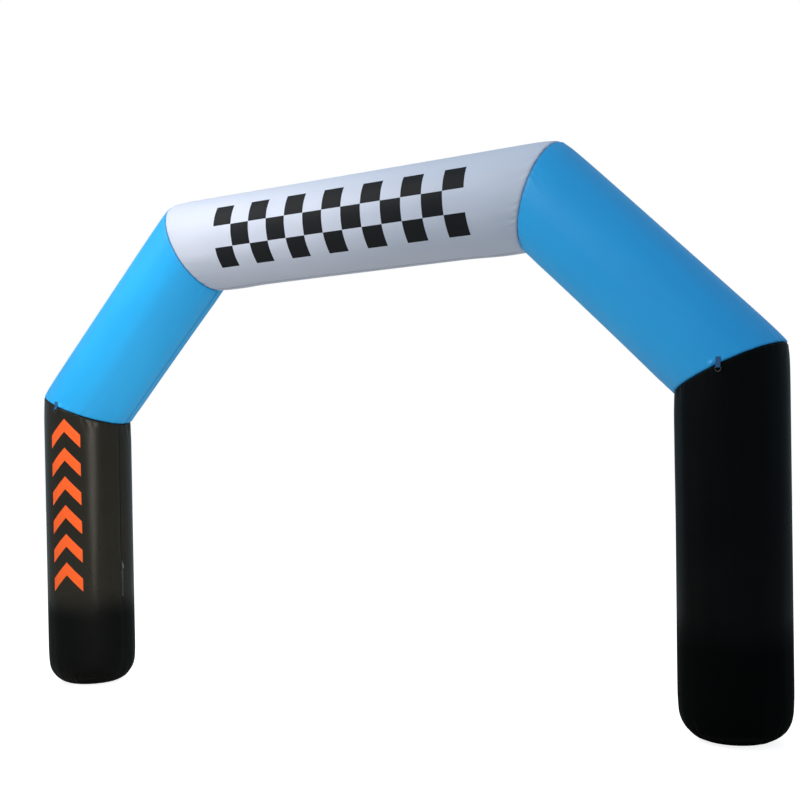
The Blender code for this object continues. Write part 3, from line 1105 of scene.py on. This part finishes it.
def rounded_block(name, low, high, bevel, taper):
    """A block with rounded edges whose lower end is narrower, as cast pieces are."""
    block = add_block(name, low, high)
    subdivide(block, 3)
    points = mesh_points(block)
    depth = (high.z - points[:, 2]) / (high.z - low.z)
    middle = (low.y + high.y) / 2
    points[:, 1] = middle + (points[:, 1] - middle) * (1 - taper * depth)
    set_mesh_points(block, points)
    apply_modifier(
        block, "BEVEL", width=bevel, segments=3, limit_method="ANGLE", angle_limit=TAPE_CREASE
    )
    return block


def build_slider():
    """The zip's slider: two plates joined by a neck, with a bridge for the pull."""
    low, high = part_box("zip_slider")
    third = (high.x - low.x) / 3
    middle = (low.y + high.y) / 2
    half = (high.y - low.y) / 2
    # Each part's start and end in thirds of the depth, its half width, its foot and top, its bevel and taper
    parts = {
        "slider": (0.0, 1.0, half, low.z, high.z, 0.0004, 0.35),
        "neck": (0.9, 2.1, 0.0025, high.z - 0.008, high.z - 0.001, 0.0003, 0.2),
        "upper": (1.6, 2.3, half, low.z, high.z, 0.0004, 0.35),
        "bridge": (2.2, 3.0, 0.0015, low.z + 0.003, high.z - 0.003, 0.0004, 0.0),
    }
    blocks = []
    for name, (begin, stop, reach, bottom, top, bevel, taper) in parts.items():
        corner = Vector((low.x + begin * third, middle - reach, bottom))
        opposite = Vector((low.x + stop * third, middle + reach, top))
        blocks.append(rounded_block(name, corner, opposite, bevel, taper))
    slider = join_pieces(blocks, "zip_slider_metal")
    shade(slider, METAL_CREASE)
    return slider


def build_pull():
    """The zip's pull: a flat tongue with a sunk grip and a rounded end."""
    low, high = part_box("zip_pull")
    pull = rounded_block("zip_pull_metal", low, high, 0.0004, 0.0)
    points = mesh_points(pull)
    middle = (low.y + high.y) / 2
    half = (high.y - low.y) / 2
    from_end = np.clip((points[:, 2] - low.z) / half, 0.0, 1.0)
    rounding = np.sqrt(np.maximum(1 - (1 - from_end) ** 2, 0.04))
    neck = 1 - 0.35 * np.clip((points[:, 2] - (low.z + high.z) / 2) / (high.z - low.z) * 2, 0.0, 1.0)
    points[:, 1] = middle + (points[:, 1] - middle) * rounding * neck
    grip = np.exp(-(((points[:, 2] - (low.z + 0.35 * (high.z - low.z))) / 0.007) ** 2))
    grip *= np.exp(-(((points[:, 1] - middle) / (0.55 * half)) ** 4))
    centre_x = (low.x + high.x) / 2
    points[:, 0] = centre_x + (points[:, 0] - centre_x) * (1 - 0.45 * grip)
    set_mesh_points(pull, points)
    shade(pull, METAL_CREASE)
    return pull


# --- Materials ---------------------------------------------------------------------------------------


class Nodes:
    """Adds shader nodes and links to one node tree."""

    def __init__(self, tree):
        self.tree = tree

    def add(self, kind, inputs=None, **settings):
        """A node with its settings, whose inputs are linked to sockets or set to values."""
        node = self.tree.nodes.new(kind)
        for name, value in settings.items():
            setattr(node, name, value)
        for key, value in (inputs or {}).items():
            self.feed(node.inputs[key], value)
        return node

    def feed(self, socket, value):
        """Links a socket, or sets its value."""
        if isinstance(value, bpy.types.NodeSocket):
            self.tree.links.new(value, socket)
        else:
            socket.default_value = value

    def math(self, operation, first, second=0.0, third=0.0):
        """The result of one sum."""
        node = self.add("ShaderNodeMath", {0: first, 1: second, 2: third}, operation=operation)
        return node.outputs[0]

    def blend(self, amount, first, second, blend_type="MIX"):
        """Two colours mixed."""
        node = self.add("ShaderNodeMix", data_type="RGBA", blend_type=blend_type)
        self.feed(node.inputs["Factor"], amount)
        self.feed(node.inputs["A"], first)
        self.feed(node.inputs["B"], second)
        return node.outputs["Result"]

    def ramp(self, value, low, high, to_low=0.0, to_high=1.0):
        """A value taken smoothly from one range to another."""
        node = self.add(
            "ShaderNodeMapRange",
            {"Value": value, "From Min": low, "From Max": high, "To Min": to_low, "To Max": to_high},
            interpolation_type="SMOOTHSTEP",
        )
        return node.outputs["Result"]

    def noise(self, vector, scale, detail=2.0, roughness=0.5):
        """A noise value from 0 to 1."""
        node = self.add(
            "ShaderNodeTexNoise",
            {"Vector": vector, "Scale": scale, "Detail": detail, "Roughness": roughness},
        )
        return node.outputs["Fac"]

    def split(self, vector):
        """The three parts of a vector."""
        return self.add("ShaderNodeSeparateXYZ", {"Vector": vector}).outputs

    def attribute(self, name):
        """A value stored on the mesh."""
        return self.add("ShaderNodeAttribute", attribute_name=name).outputs["Fac"]

    def use(self, group, **inputs):
        """The outputs of a shared effect placed in this material."""
        node = self.add("ShaderNodeGroup", node_tree=group)
        for name, value in inputs.items():
            self.feed(node.inputs[name.replace("_", " ")], value)
        return node.outputs


def effect(name, inputs, outputs):
    """A new shared effect: its tree, what it is given and what it hands back."""
    tree = bpy.data.node_groups.new(name, "ShaderNodeTree")
    for label, kind in inputs:
        tree.interface.new_socket(label, in_out="INPUT", socket_type=kind)
    for label, kind in outputs:
        tree.interface.new_socket(label, in_out="OUTPUT", socket_type=kind)
    return tree, tree.nodes.new("NodeGroupInput").outputs, tree.nodes.new("NodeGroupOutput").inputs


def weave_effect():
    """Plain weave under a thin coating: the height of crossing threads, in metres."""
    if "plain_weave" in bpy.data.node_groups:
        return bpy.data.node_groups["plain_weave"]
    tree, given, result = effect(
        "plain_weave",
        [("Map", "NodeSocketVector"), ("Thread", "NodeSocketFloat"), ("Depth", "NodeSocketFloat")],
        [("Height", "NodeSocketFloat")],
    )
    nodes = Nodes(tree)
    turns = nodes.math("DIVIDE", tau, given["Thread"])
    across, along, _ = nodes.split(given["Map"])
    warp = nodes.math("SINE", nodes.math("MULTIPLY", across, turns))
    weft = nodes.math("SINE", nodes.math("MULTIPLY", along, turns))
    crossing = nodes.math("MULTIPLY", warp, weft)
    thread = nodes.math("MULTIPLY", crossing, given["Depth"])
    slub = nodes.noise(given["Map"], 260.0, 2.0, 0.6)
    nodes.feed(result["Height"], nodes.math("MULTIPLY_ADD", slub, given["Depth"], thread))
    return tree


def stitch_effect():
    """Two rows of stitches beside a seam: where the thread shows."""
    if "stitch_rows" in bpy.data.node_groups:
        return bpy.data.node_groups["stitch_rows"]
    tree, given, result = effect(
        "stitch_rows",
        [("Distance", "NodeSocketFloat"), ("Run", "NodeSocketFloat"), ("Stitch", "NodeSocketFloat")],
        [("Thread", "NodeSocketFloat")],
    )
    nodes = Nodes(tree)
    from_middle = nodes.math("ABSOLUTE", nodes.math("SUBTRACT", given["Distance"], STITCH_ROWS_MIDDLE))
    place = nodes.math("SUBTRACT", from_middle, STITCH_ROWS_APART)
    line = nodes.ramp(nodes.math("ABSOLUTE", place), *STITCH_HALF_WIDTHS, 1.0, 0.0)
    turns = nodes.math("DIVIDE", nodes.math("MULTIPLY", given["Run"], tau), given["Stitch"])
    beat = nodes.math("SINE", turns)
    dash = nodes.ramp(beat, -0.55, -0.25)
    nodes.feed(result["Thread"], nodes.math("MULTIPLY", line, dash))
    return tree


def wear_and_seam_shade_effect():
    """Use and handling: cloudy shade and dust that settles near the ground, with painted shade that darkens
    the cloth deep in the seams.
    """
    if "cloth_wear" in bpy.data.node_groups:
        return bpy.data.node_groups["cloth_wear"]
    tree, given, result = effect(
        "cloth_wear",
        [
            ("Place", "NodeSocketVector"),
            ("Colour", "NodeSocketColor"),
            ("Shadow Colour", "NodeSocketColor"),
            ("Crease Colour", "NodeSocketColor"),
            ("Dust", "NodeSocketFloat"),
            ("Seam Distance", "NodeSocketFloat"),
            ("Roughness", "NodeSocketFloat"),
        ],
        [("Colour", "NodeSocketColor"), ("Roughness", "NodeSocketFloat"), ("Height", "NodeSocketFloat")],
    )
    nodes = Nodes(tree)
    cloud = nodes.ramp(nodes.noise(given["Place"], 1.3, 3.0, 0.55), 0.30, 0.72)
    grime = nodes.noise(given["Place"], 9.0, 5.0, 0.65)
    scuff = nodes.ramp(nodes.noise(given["Place"], 38.0, 4.0, 0.7), 0.60, 0.78)
    # Painted shade: within 7 mm of a seam the colour goes over to the darker seam shade colour.
    crease = nodes.ramp(given["Seam Distance"], 0.0, 0.007, 1.0, 0.0)
    shaded = nodes.blend(nodes.math("MULTIPLY", cloud, 0.55), given["Colour"], given["Shadow Colour"])
    shaded = nodes.blend(crease, shaded, given["Crease Colour"])
    height = nodes.split(given["Place"])[2]
    low = nodes.ramp(height, 0.02, 0.75, 1.0, 0.0)
    dust = nodes.math("MULTIPLY", nodes.math("MULTIPLY", low, grime), given["Dust"])
    dusty = nodes.blend(dust, shaded, DUST_COLOUR)
    nodes.feed(result["Colour"], dusty)
    rough = nodes.math("MULTIPLY_ADD", cloud, 0.05, given["Roughness"])
    rough = nodes.math("MULTIPLY_ADD", nodes.math("MULTIPLY", scuff, low), 0.10, rough)
    nodes.feed(result["Roughness"], nodes.math("MULTIPLY_ADD", dust, 0.5, rough))
    crinkle = nodes.math("MULTIPLY", nodes.noise(given["Place"], 22.0, 4.0, 0.6), 0.0007)
    nodes.feed(result["Height"], crinkle)
    return tree


def new_material(name):
    """An empty material: its nodes and its shader."""
    material = bpy.data.materials.new(name)
    material.use_nodes = True
    material.node_tree.nodes.clear()
    nodes = Nodes(material.node_tree)
    shader = nodes.add("ShaderNodeBsdfPrincipled")
    nodes.add("ShaderNodeOutputMaterial", {"Surface": shader.outputs["BSDF"]})
    return material, nodes, shader


def finish_surface(nodes, shader, colour, roughness, height):
    """Gives a shader its colour, its roughness and its relief, whose height is in metres."""
    bump = nodes.add("ShaderNodeBump", {"Height": height, "Strength": 1.0, "Distance": 1.0})
    nodes.feed(shader.inputs["Base Color"], colour)
    nodes.feed(shader.inputs["Roughness"], roughness)
    nodes.feed(shader.inputs["Normal"], bump.outputs["Normal"])


def full(colour):
    """A colour with its alpha."""
    return (*colour[:3], 1.0)


def cloth_material(
    name, context, colour, shadow, stitch_colour, roughness, shine=0.5, dust=0.0, printing=None
):
    """Coated cloth with its weave, stitches and wear, painted shade in its seams, painted shadow low down on
    the legs, and a print where there is one.
    """
    scene = context.scene
    colours, seams = scene.arch_colours, scene.arch_seams
    material, nodes, shader = new_material(name)
    place = nodes.add("ShaderNodeTexCoord").outputs["Object"]
    cloth_map = nodes.add("ShaderNodeUVMap", uv_map=CLOTH_MAP).outputs["UV"]
    across, along, _ = nodes.split(cloth_map)
    seam, sewn = nodes.attribute(SEAM_DISTANCE), nodes.attribute(SEWN_DISTANCE)
    # The wear effect also paints shade into the seams, in the shadow colour times the crease share.
    worn_and_seam_shaded = nodes.use(
        wear_and_seam_shade_effect(),
        Place=place,
        Colour=full(colour),
        Shadow_Colour=full(shadow),
        Crease_Colour=full([part * colours.crease for part in shadow]),
        Dust=dust,
        Seam_Distance=nodes.math("MINIMUM", seam, sewn),
        Roughness=roughness,
    )
    shown, rough = worn_and_seam_shaded["Colour"], worn_and_seam_shaded["Roughness"]
    # Painted shadow: below an uneven line the leg's cloth turns to the foot black, and is rougher there.
    if dust:
        edge = nodes.math("MULTIPLY_ADD", nodes.noise(place, 3.0), FOOT_PAINTED_SHADOW_UNEVEN, nodes.split(place)[2])
        above = nodes.ramp(edge, *FOOT_PAINTED_SHADOW)
        shown = nodes.blend(above, full(colours.black_foot_painted_shadow), shown)
        rough = nodes.math("MULTIPLY_ADD", nodes.math("SUBTRACT", 1.0, above), colours.foot_dull, rough)
    cross_rows = nodes.use(stitch_effect(), Distance=seam, Run=across, Stitch=seams.stitch)["Thread"]
    long_rows = nodes.use(stitch_effect(), Distance=sewn, Run=along, Stitch=seams.stitch)["Thread"]
    thread = nodes.math("MAXIMUM", cross_rows, long_rows)
    relief = nodes.math("MULTIPLY_ADD", thread, STITCH_HEIGHT, worn_and_seam_shaded["Height"])
    if printing:
        mask, ink = printing(nodes, across, along, scene.arch_prints, colours)
        shown = nodes.blend(mask, shown, full(ink))
        rough = nodes.math("MULTIPLY_ADD", mask, INK_ROUGHER, rough)
        relief = nodes.math("MULTIPLY_ADD", mask, INK_HEIGHT, relief)
    shown = nodes.blend(thread, shown, full(stitch_colour))
    weave = nodes.use(weave_effect(), Map=cloth_map, Thread=WEAVE_THREAD, Depth=WEAVE_DEPTH)["Height"]
    finish_surface(nodes, shader, shown, rough, nodes.math("ADD", relief, weave))
    shader.inputs["Specular IOR Level"].default_value = shine
    return material


def chequered_band(nodes, across, along, prints, colours):
    """The band of squares on the beam: its mask and its ink."""
    middle = bpy.context.scene.arch_sizes.beam_bend_x
    start = middle - prints.square * prints.squares / 2
    top = prints.band_drop - prints.square * prints.rows / 2
    column = nodes.math("DIVIDE", nodes.math("SUBTRACT", along, start), prints.square)
    row = nodes.math("DIVIDE", nodes.math("SUBTRACT", across, top), prints.square)
    parity = nodes.math("ADD", nodes.math("FLOOR", column), nodes.math("FLOOR", row))
    inked = nodes.math("LESS_THAN", nodes.math("PINGPONG", parity, 1.0), 0.5)
    inside = nodes.math(
        "MULTIPLY", between(nodes, column, 0.0, prints.squares), between(nodes, row, 0.0, prints.rows)
    )
    return nodes.math("MULTIPLY", inked, inside), colours.print_black


def between(nodes, value, low, high):
    """1 where a value lies between two limits."""
    above = nodes.math("GREATER_THAN", value, low)
    return nodes.math("MULTIPLY", above, nodes.math("LESS_THAN", value, high))


def chevron_column(nodes, across, along, prints, colours):
    """The column of chevrons on the left leg: its mask and its ink."""
    off = nodes.math("ABSOLUTE", nodes.math("SUBTRACT", across, prints.strip_offset))
    spread = prints.chevron_width / 2
    tall = prints.chevron_pitch * (prints.chevrons - 1) + prints.chevron_arm + spread
    start = prints.strip_middle_z - tall / 2
    lifted = nodes.math("SUBTRACT", nodes.math("ADD", along, off), start + spread)
    number = nodes.math("DIVIDE", lifted, prints.chevron_pitch)
    arm = nodes.math("LESS_THAN", nodes.math("FRACT", number), prints.chevron_arm / prints.chevron_pitch)
    inside = nodes.math(
        "MULTIPLY", between(nodes, number, 0.0, prints.chevrons), nodes.math("LESS_THAN", off, spread)
    )
    return nodes.math("MULTIPLY", arm, inside), colours.print_orange


def webbing_material():
    """Woven strap: ribs across, and fuzzy edges of the yarn."""
    material, nodes, shader = new_material("tab_webbing")
    place = nodes.add("ShaderNodeTexCoord").outputs["Object"]
    across, _, up = nodes.split(place)
    ribs = nodes.math("SINE", nodes.math("MULTIPLY", up, tau / 0.0016))
    cords = nodes.math("SINE", nodes.math("MULTIPLY", across, tau / 0.0022))
    fuzz = nodes.noise(place, 900.0, 3.0, 0.6)
    fluff = nodes.math("MULTIPLY", fuzz, 0.0002)
    height = nodes.math("MULTIPLY_ADD", nodes.math("ADD", ribs, cords), 0.0001, fluff)
    shown = nodes.blend(fuzz, (0.012, 0.070, 0.190, 1.0), (0.032, 0.150, 0.350, 1.0))
    finish_surface(nodes, shader, shown, nodes.ramp(fuzz, 0.2, 0.8, 0.62, 0.82), height)
    return material


def thread_material():
    """Blue sewing thread with its twist."""
    material, nodes, shader = new_material("strap_thread")
    place = nodes.add("ShaderNodeTexCoord").outputs["Object"]
    across, _, up = nodes.split(place)
    twist = nodes.math("SINE", nodes.math("MULTIPLY", nodes.math("ADD", across, up), tau / 0.0005))
    shown = nodes.blend(
        nodes.ramp(twist, -1.0, 1.0), (0.030, 0.120, 0.280, 1.0), (0.090, 0.300, 0.580, 1.0)
    )
    rough = nodes.ramp(twist, -1.0, 1.0, 0.55, 0.7)
    finish_surface(nodes, shader, shown, rough, nodes.math("MULTIPLY", twist, 0.00005))
    return material


def metal_material(name, bright, dark, rough):
    """Plated metal: brushed, a little stained, and dull where it is handled less."""
    material, nodes, shader = new_material(name)
    shader.inputs["Metallic"].default_value = 1.0
    place = nodes.add("ShaderNodeTexCoord").outputs["Object"]
    stain = nodes.noise(place, 160.0, 4.0, 0.6)
    grain = nodes.noise(place, 2400.0, 2.0, 0.5)
    shown = nodes.blend(nodes.ramp(stain, 0.42, 0.75), bright, dark)
    roughness = nodes.ramp(stain, 0.2, 0.8, rough, rough + 0.22)
    finish_surface(nodes, shader, shown, roughness, nodes.math("MULTIPLY", grain, 0.00004))
    return material


def tape_material():
    """The zip's woven tape: a fine herringbone."""
    material, nodes, shader = new_material("zip_tape")
    place = nodes.add("ShaderNodeTexCoord").outputs["Object"]
    _, across, up = nodes.split(place)
    zigzag = nodes.math("PINGPONG", across, 0.0015)
    twill = nodes.math("SINE", nodes.math("MULTIPLY", nodes.math("ADD", up, zigzag), tau / 0.0011))
    fuzz = nodes.noise(place, 700.0, 3.0, 0.6)
    shown = nodes.blend(fuzz, (0.010, 0.010, 0.011, 1.0), (0.035, 0.034, 0.033, 1.0))
    height = nodes.math("MULTIPLY_ADD", twill, 0.00008, nodes.math("MULTIPLY", fuzz, 0.00015))
    finish_surface(nodes, shader, shown, nodes.ramp(fuzz, 0.2, 0.8, 0.65, 0.85), height)
    return material


# --- Operators ---------------------------------------------------------------------------------------


class ARCH_OT_legs(bpy.types.Operator):
    """Builds the two upright black legs"""

    bl_idname = "arch.legs"
    bl_label = "Legs"

    def execute(self, context):
        colours = context.scene.arch_colours
        left = build_tube("leg_left", context)
        right = mirrored_copy(left, "leg_right_cloth")
        # The left leg's cloth: its warm grey is painted sheen.
        printed = cloth_material(
            "black_cloth_printed",
            context,
            colours.black,
            colours.black_shadow,
            BLACK_THREAD,
            colours.leg_roughness,
            shine=colours.left_shine,
            dust=0.06,
            printing=chevron_column,
        )
        # The right leg's cloth: a darker copy of the black, as painted shade, with its mottle going to the
        # painted foot shadow colour.
        plain = cloth_material(
            "black_cloth_plain",
            context,
            colours.black_right_painted_shade,
            colours.black_foot_painted_shadow,
            BLACK_THREAD,
            colours.roughness,
            shine=colours.right_shine,
            dust=0.02,
        )
        finish_tube(left, "leg_left", context, printed)
        finish_tube(right, "leg_right", context, plain)
        return {"FINISHED"}


class ARCH_OT_diagonals(bpy.types.Operator):
    """Builds the two slanting blue tubes between the legs and the beam"""

    bl_idname = "arch.diagonals"
    bl_label = "Diagonals"

    def execute(self, context):
        colours = context.scene.arch_colours
        left = build_tube("diagonal_left", context)
        right = mirrored_copy(left, "diagonal_right_cloth")
        cloth = cloth_material(
            "blue_cloth", context, colours.blue, colours.blue_shadow, BLUE_THREAD, colours.roughness
        )
        finish_tube(left, "diagonal_left", context, cloth)
        finish_tube(right, "diagonal_right", context, cloth)
        return {"FINISHED"}


class ARCH_OT_beam(bpy.types.Operator):
    """Builds the white beam with its printed band"""

    bl_idname = "arch.beam"
    bl_label = "Beam"

    def execute(self, context):
        colours = context.scene.arch_colours
        beam = build_tube("beam", context)
        cloth = cloth_material(
            "white_cloth",
            context,
            colours.white,
            colours.white_shadow,
            WHITE_THREAD,
            colours.roughness,
            shine=colours.beam_shine,
            printing=chequered_band,
        )
        finish_tube(beam, "beam", context, cloth)
        return {"FINISHED"}


class ARCH_OT_tie_tabs(bpy.types.Operator):
    """Builds the webbing tabs at the knee seams and the rings in them"""

    bl_idname = "arch.tie_tabs"
    bl_label = "Tie tabs"

    def execute(self, context):
        sizes = context.scene.arch_fittings
        webbing = webbing_material()
        thread = thread_material()
        # Ring steel darkened as painted shade.
        steel = metal_material("ring_steel", *RING_STEEL_PAINTED_SHADE)
        for side in ("left", "right"):
            strap, stitches = build_strap(sizes, f"tie_tab_{side}")
            shade(strap, METAL_CREASE)
            dress(strap, webbing, "tab_webbing", f"tie_tab_{side}")
            dress(stitches, thread, "tab_webbing")
            dress(build_ring(sizes, f"tie_ring_{side}"), steel, "ring_steel", f"tie_ring_{side}")
        return {"FINISHED"}


class ARCH_OT_zip(bpy.types.Operator):
    """Builds the zip on the inner side of the left leg"""

    bl_idname = "arch.zip"
    bl_label = "Zip"

    def execute(self, context):
        tape, teeth = build_zip(context.scene.arch_fittings)
        dress(tape, tape_material(), "zip_tape", "zip_tape")
        metal = metal_material("zip_metal", *ZIP_METAL)
        dress(teeth, metal, "zip_metal")
        dress(build_slider(), metal, "zip_metal", "zip_slider")
        dress(build_pull(), metal, "zip_metal", "zip_pull")
        return {"FINISHED"}


class ARCH_OT_stage(bpy.types.Operator):
    """Sets up the floor, the lights and the camera"""

    bl_idname = "arch.stage"
    bl_label = "Stage"

    def execute(self, context):
        scene = context.scene
        stage = scene.arch_stage
        scene.view_settings.view_transform = "Standard"
        build_floor(stage)
        build_world(scene, stage)
        add_light(stage, "key", stage.key_size, stage.key_size, stage.key_colour)
        front = add_light(stage, "front", stage.front_size, stage.front_tall, stage.front_colour)
        front.data.spread = stage.front_spread
        back = add_light(stage, "back", stage.back_size, stage.back_size, stage.key_colour)
        back.visible_glossy = False
        build_camera(scene, stage)
        return {"FINISHED"}


def build_floor(stage):
    """A wide pale floor."""
    deselect_all()
    bpy.ops.mesh.primitive_plane_add(size=stage.floor_size, location=(0, 0, -stage.floor_drop))
    floor = bpy.context.object
    floor.name = "floor"
    apply_place(floor)
    material, nodes, shader = new_material("floor")
    place = nodes.add("ShaderNodeTexCoord").outputs["Object"]
    cloud = nodes.noise(place, 0.8, 3.0, 0.5)
    pale = full(stage.floor)
    duller = full([part * 0.99 for part in pale])
    nodes.feed(shader.inputs["Base Color"], nodes.blend(cloud, pale, duller))
    shader.inputs["Roughness"].default_value = 0.9
    shader.inputs["Emission Color"].default_value = (1, 1, 1, 1)
    seen = nodes.add("ShaderNodeLightPath").outputs["Is Camera Ray"]
    nodes.feed(shader.inputs["Emission Strength"], nodes.math("MULTIPLY", seen, stage.floor_glow))
    floor.data.materials.append(material)


def build_world(scene, stage):
    """An even white surround that shows white and lights the arch softly."""
    world = bpy.data.worlds.new("surround")
    world.use_nodes = True
    world.node_tree.nodes.clear()
    nodes = Nodes(world.node_tree)
    seen = nodes.add("ShaderNodeLightPath").outputs["Is Camera Ray"]
    strength = nodes.math("MULTIPLY_ADD", seen, stage.backdrop - stage.sky, stage.sky)
    colour = nodes.blend(seen, full(stage.sky_colour), (1, 1, 1, 1))
    background = nodes.add("ShaderNodeBackground", {"Color": colour, "Strength": strength})
    nodes.add("ShaderNodeOutputWorld", {"Surface": background.outputs["Background"]})
    scene.world = world


def add_light(stage, name, width, height, colour):
    """A large soft light with the power, the place and the aim that the stage's settings give it."""
    place = Vector(getattr(stage, f"{name}_place"))
    aim = Vector(getattr(stage, f"{name}_aim"))
    deselect_all()
    bpy.ops.object.light_add(type="AREA", location=place)
    light = bpy.context.object
    light.name = f"{name}_light"
    light.rotation_euler = (aim - place).to_track_quat("-Z", "Y").to_euler()
    light.data.shape = "RECTANGLE"
    light.data.size, light.data.size_y = width, height
    light.data.energy = getattr(stage, name)
    light.data.color = colour
    return light


def build_camera(scene, stage):
    """The camera, standing to the right of the arch at eye level."""
    deselect_all()
    bpy.ops.object.camera_add(location=stage.camera_place)
    camera = bpy.context.object
    camera.name = "camera"
    yaw = Matrix.Rotation(stage.camera_yaw, 4, "Z")
    pitch = Matrix.Rotation(pi / 2 + stage.camera_pitch, 4, "X")
    roll = Matrix.Rotation(stage.camera_roll, 4, "Z")
    camera.matrix_world = Matrix.Translation(stage.camera_place) @ yaw @ pitch @ roll
    camera.data.lens = stage.lens
    camera.data.shift_x = stage.shift_x
    camera.data.shift_y = stage.shift_y
    camera.data.clip_end = 200
    scene.camera = camera


class ARCH_PT_panel(bpy.types.Panel):
    """Lists the arch's pieces"""

    bl_idname = "ARCH_PT_panel"
    bl_label = "Inflatable arch"
    bl_space_type = "VIEW_3D"
    bl_region_type = "UI"
    bl_category = "Arch"

    def draw(self, context):
        for operator in OPERATORS:
            self.layout.operator(operator.bl_idname)
        for group, settings in GROUPS.items():
            box = self.layout.box()
            box.label(text=settings.__doc__)
            for name in settings.__annotations__:
                box.prop(getattr(context.scene, group), name)


OPERATORS = (
    ARCH_OT_legs,
    ARCH_OT_diagonals,
    ARCH_OT_beam,
    ARCH_OT_tie_tabs,
    ARCH_OT_zip,
    ARCH_OT_stage,
)


def register():
    """Registers the settings, the operators and the panel."""
    for group, settings in GROUPS.items():
        bpy.utils.register_class(settings)
        setattr(bpy.types.Scene, group, PointerProperty(type=settings))
    for operator in OPERATORS:
        bpy.utils.register_class(operator)
    bpy.utils.register_class(ARCH_PT_panel)


def unregister():
    """Takes them away again."""
    bpy.utils.unregister_class(ARCH_PT_panel)
    for operator in reversed(OPERATORS):
        bpy.utils.unregister_class(operator)
    for group, settings in reversed(GROUPS.items()):
        delattr(bpy.types.Scene, group)
        bpy.utils.unregister_class(settings)


def main():
    """Builds the arch and its stage."""
    register()
    bpy.ops.arch.legs()
    bpy.ops.arch.diagonals()
    bpy.ops.arch.beam()
    bpy.ops.arch.tie_tabs()
    bpy.ops.arch.zip()
    bpy.ops.arch.stage()


if __name__ == "__main__":
    main()
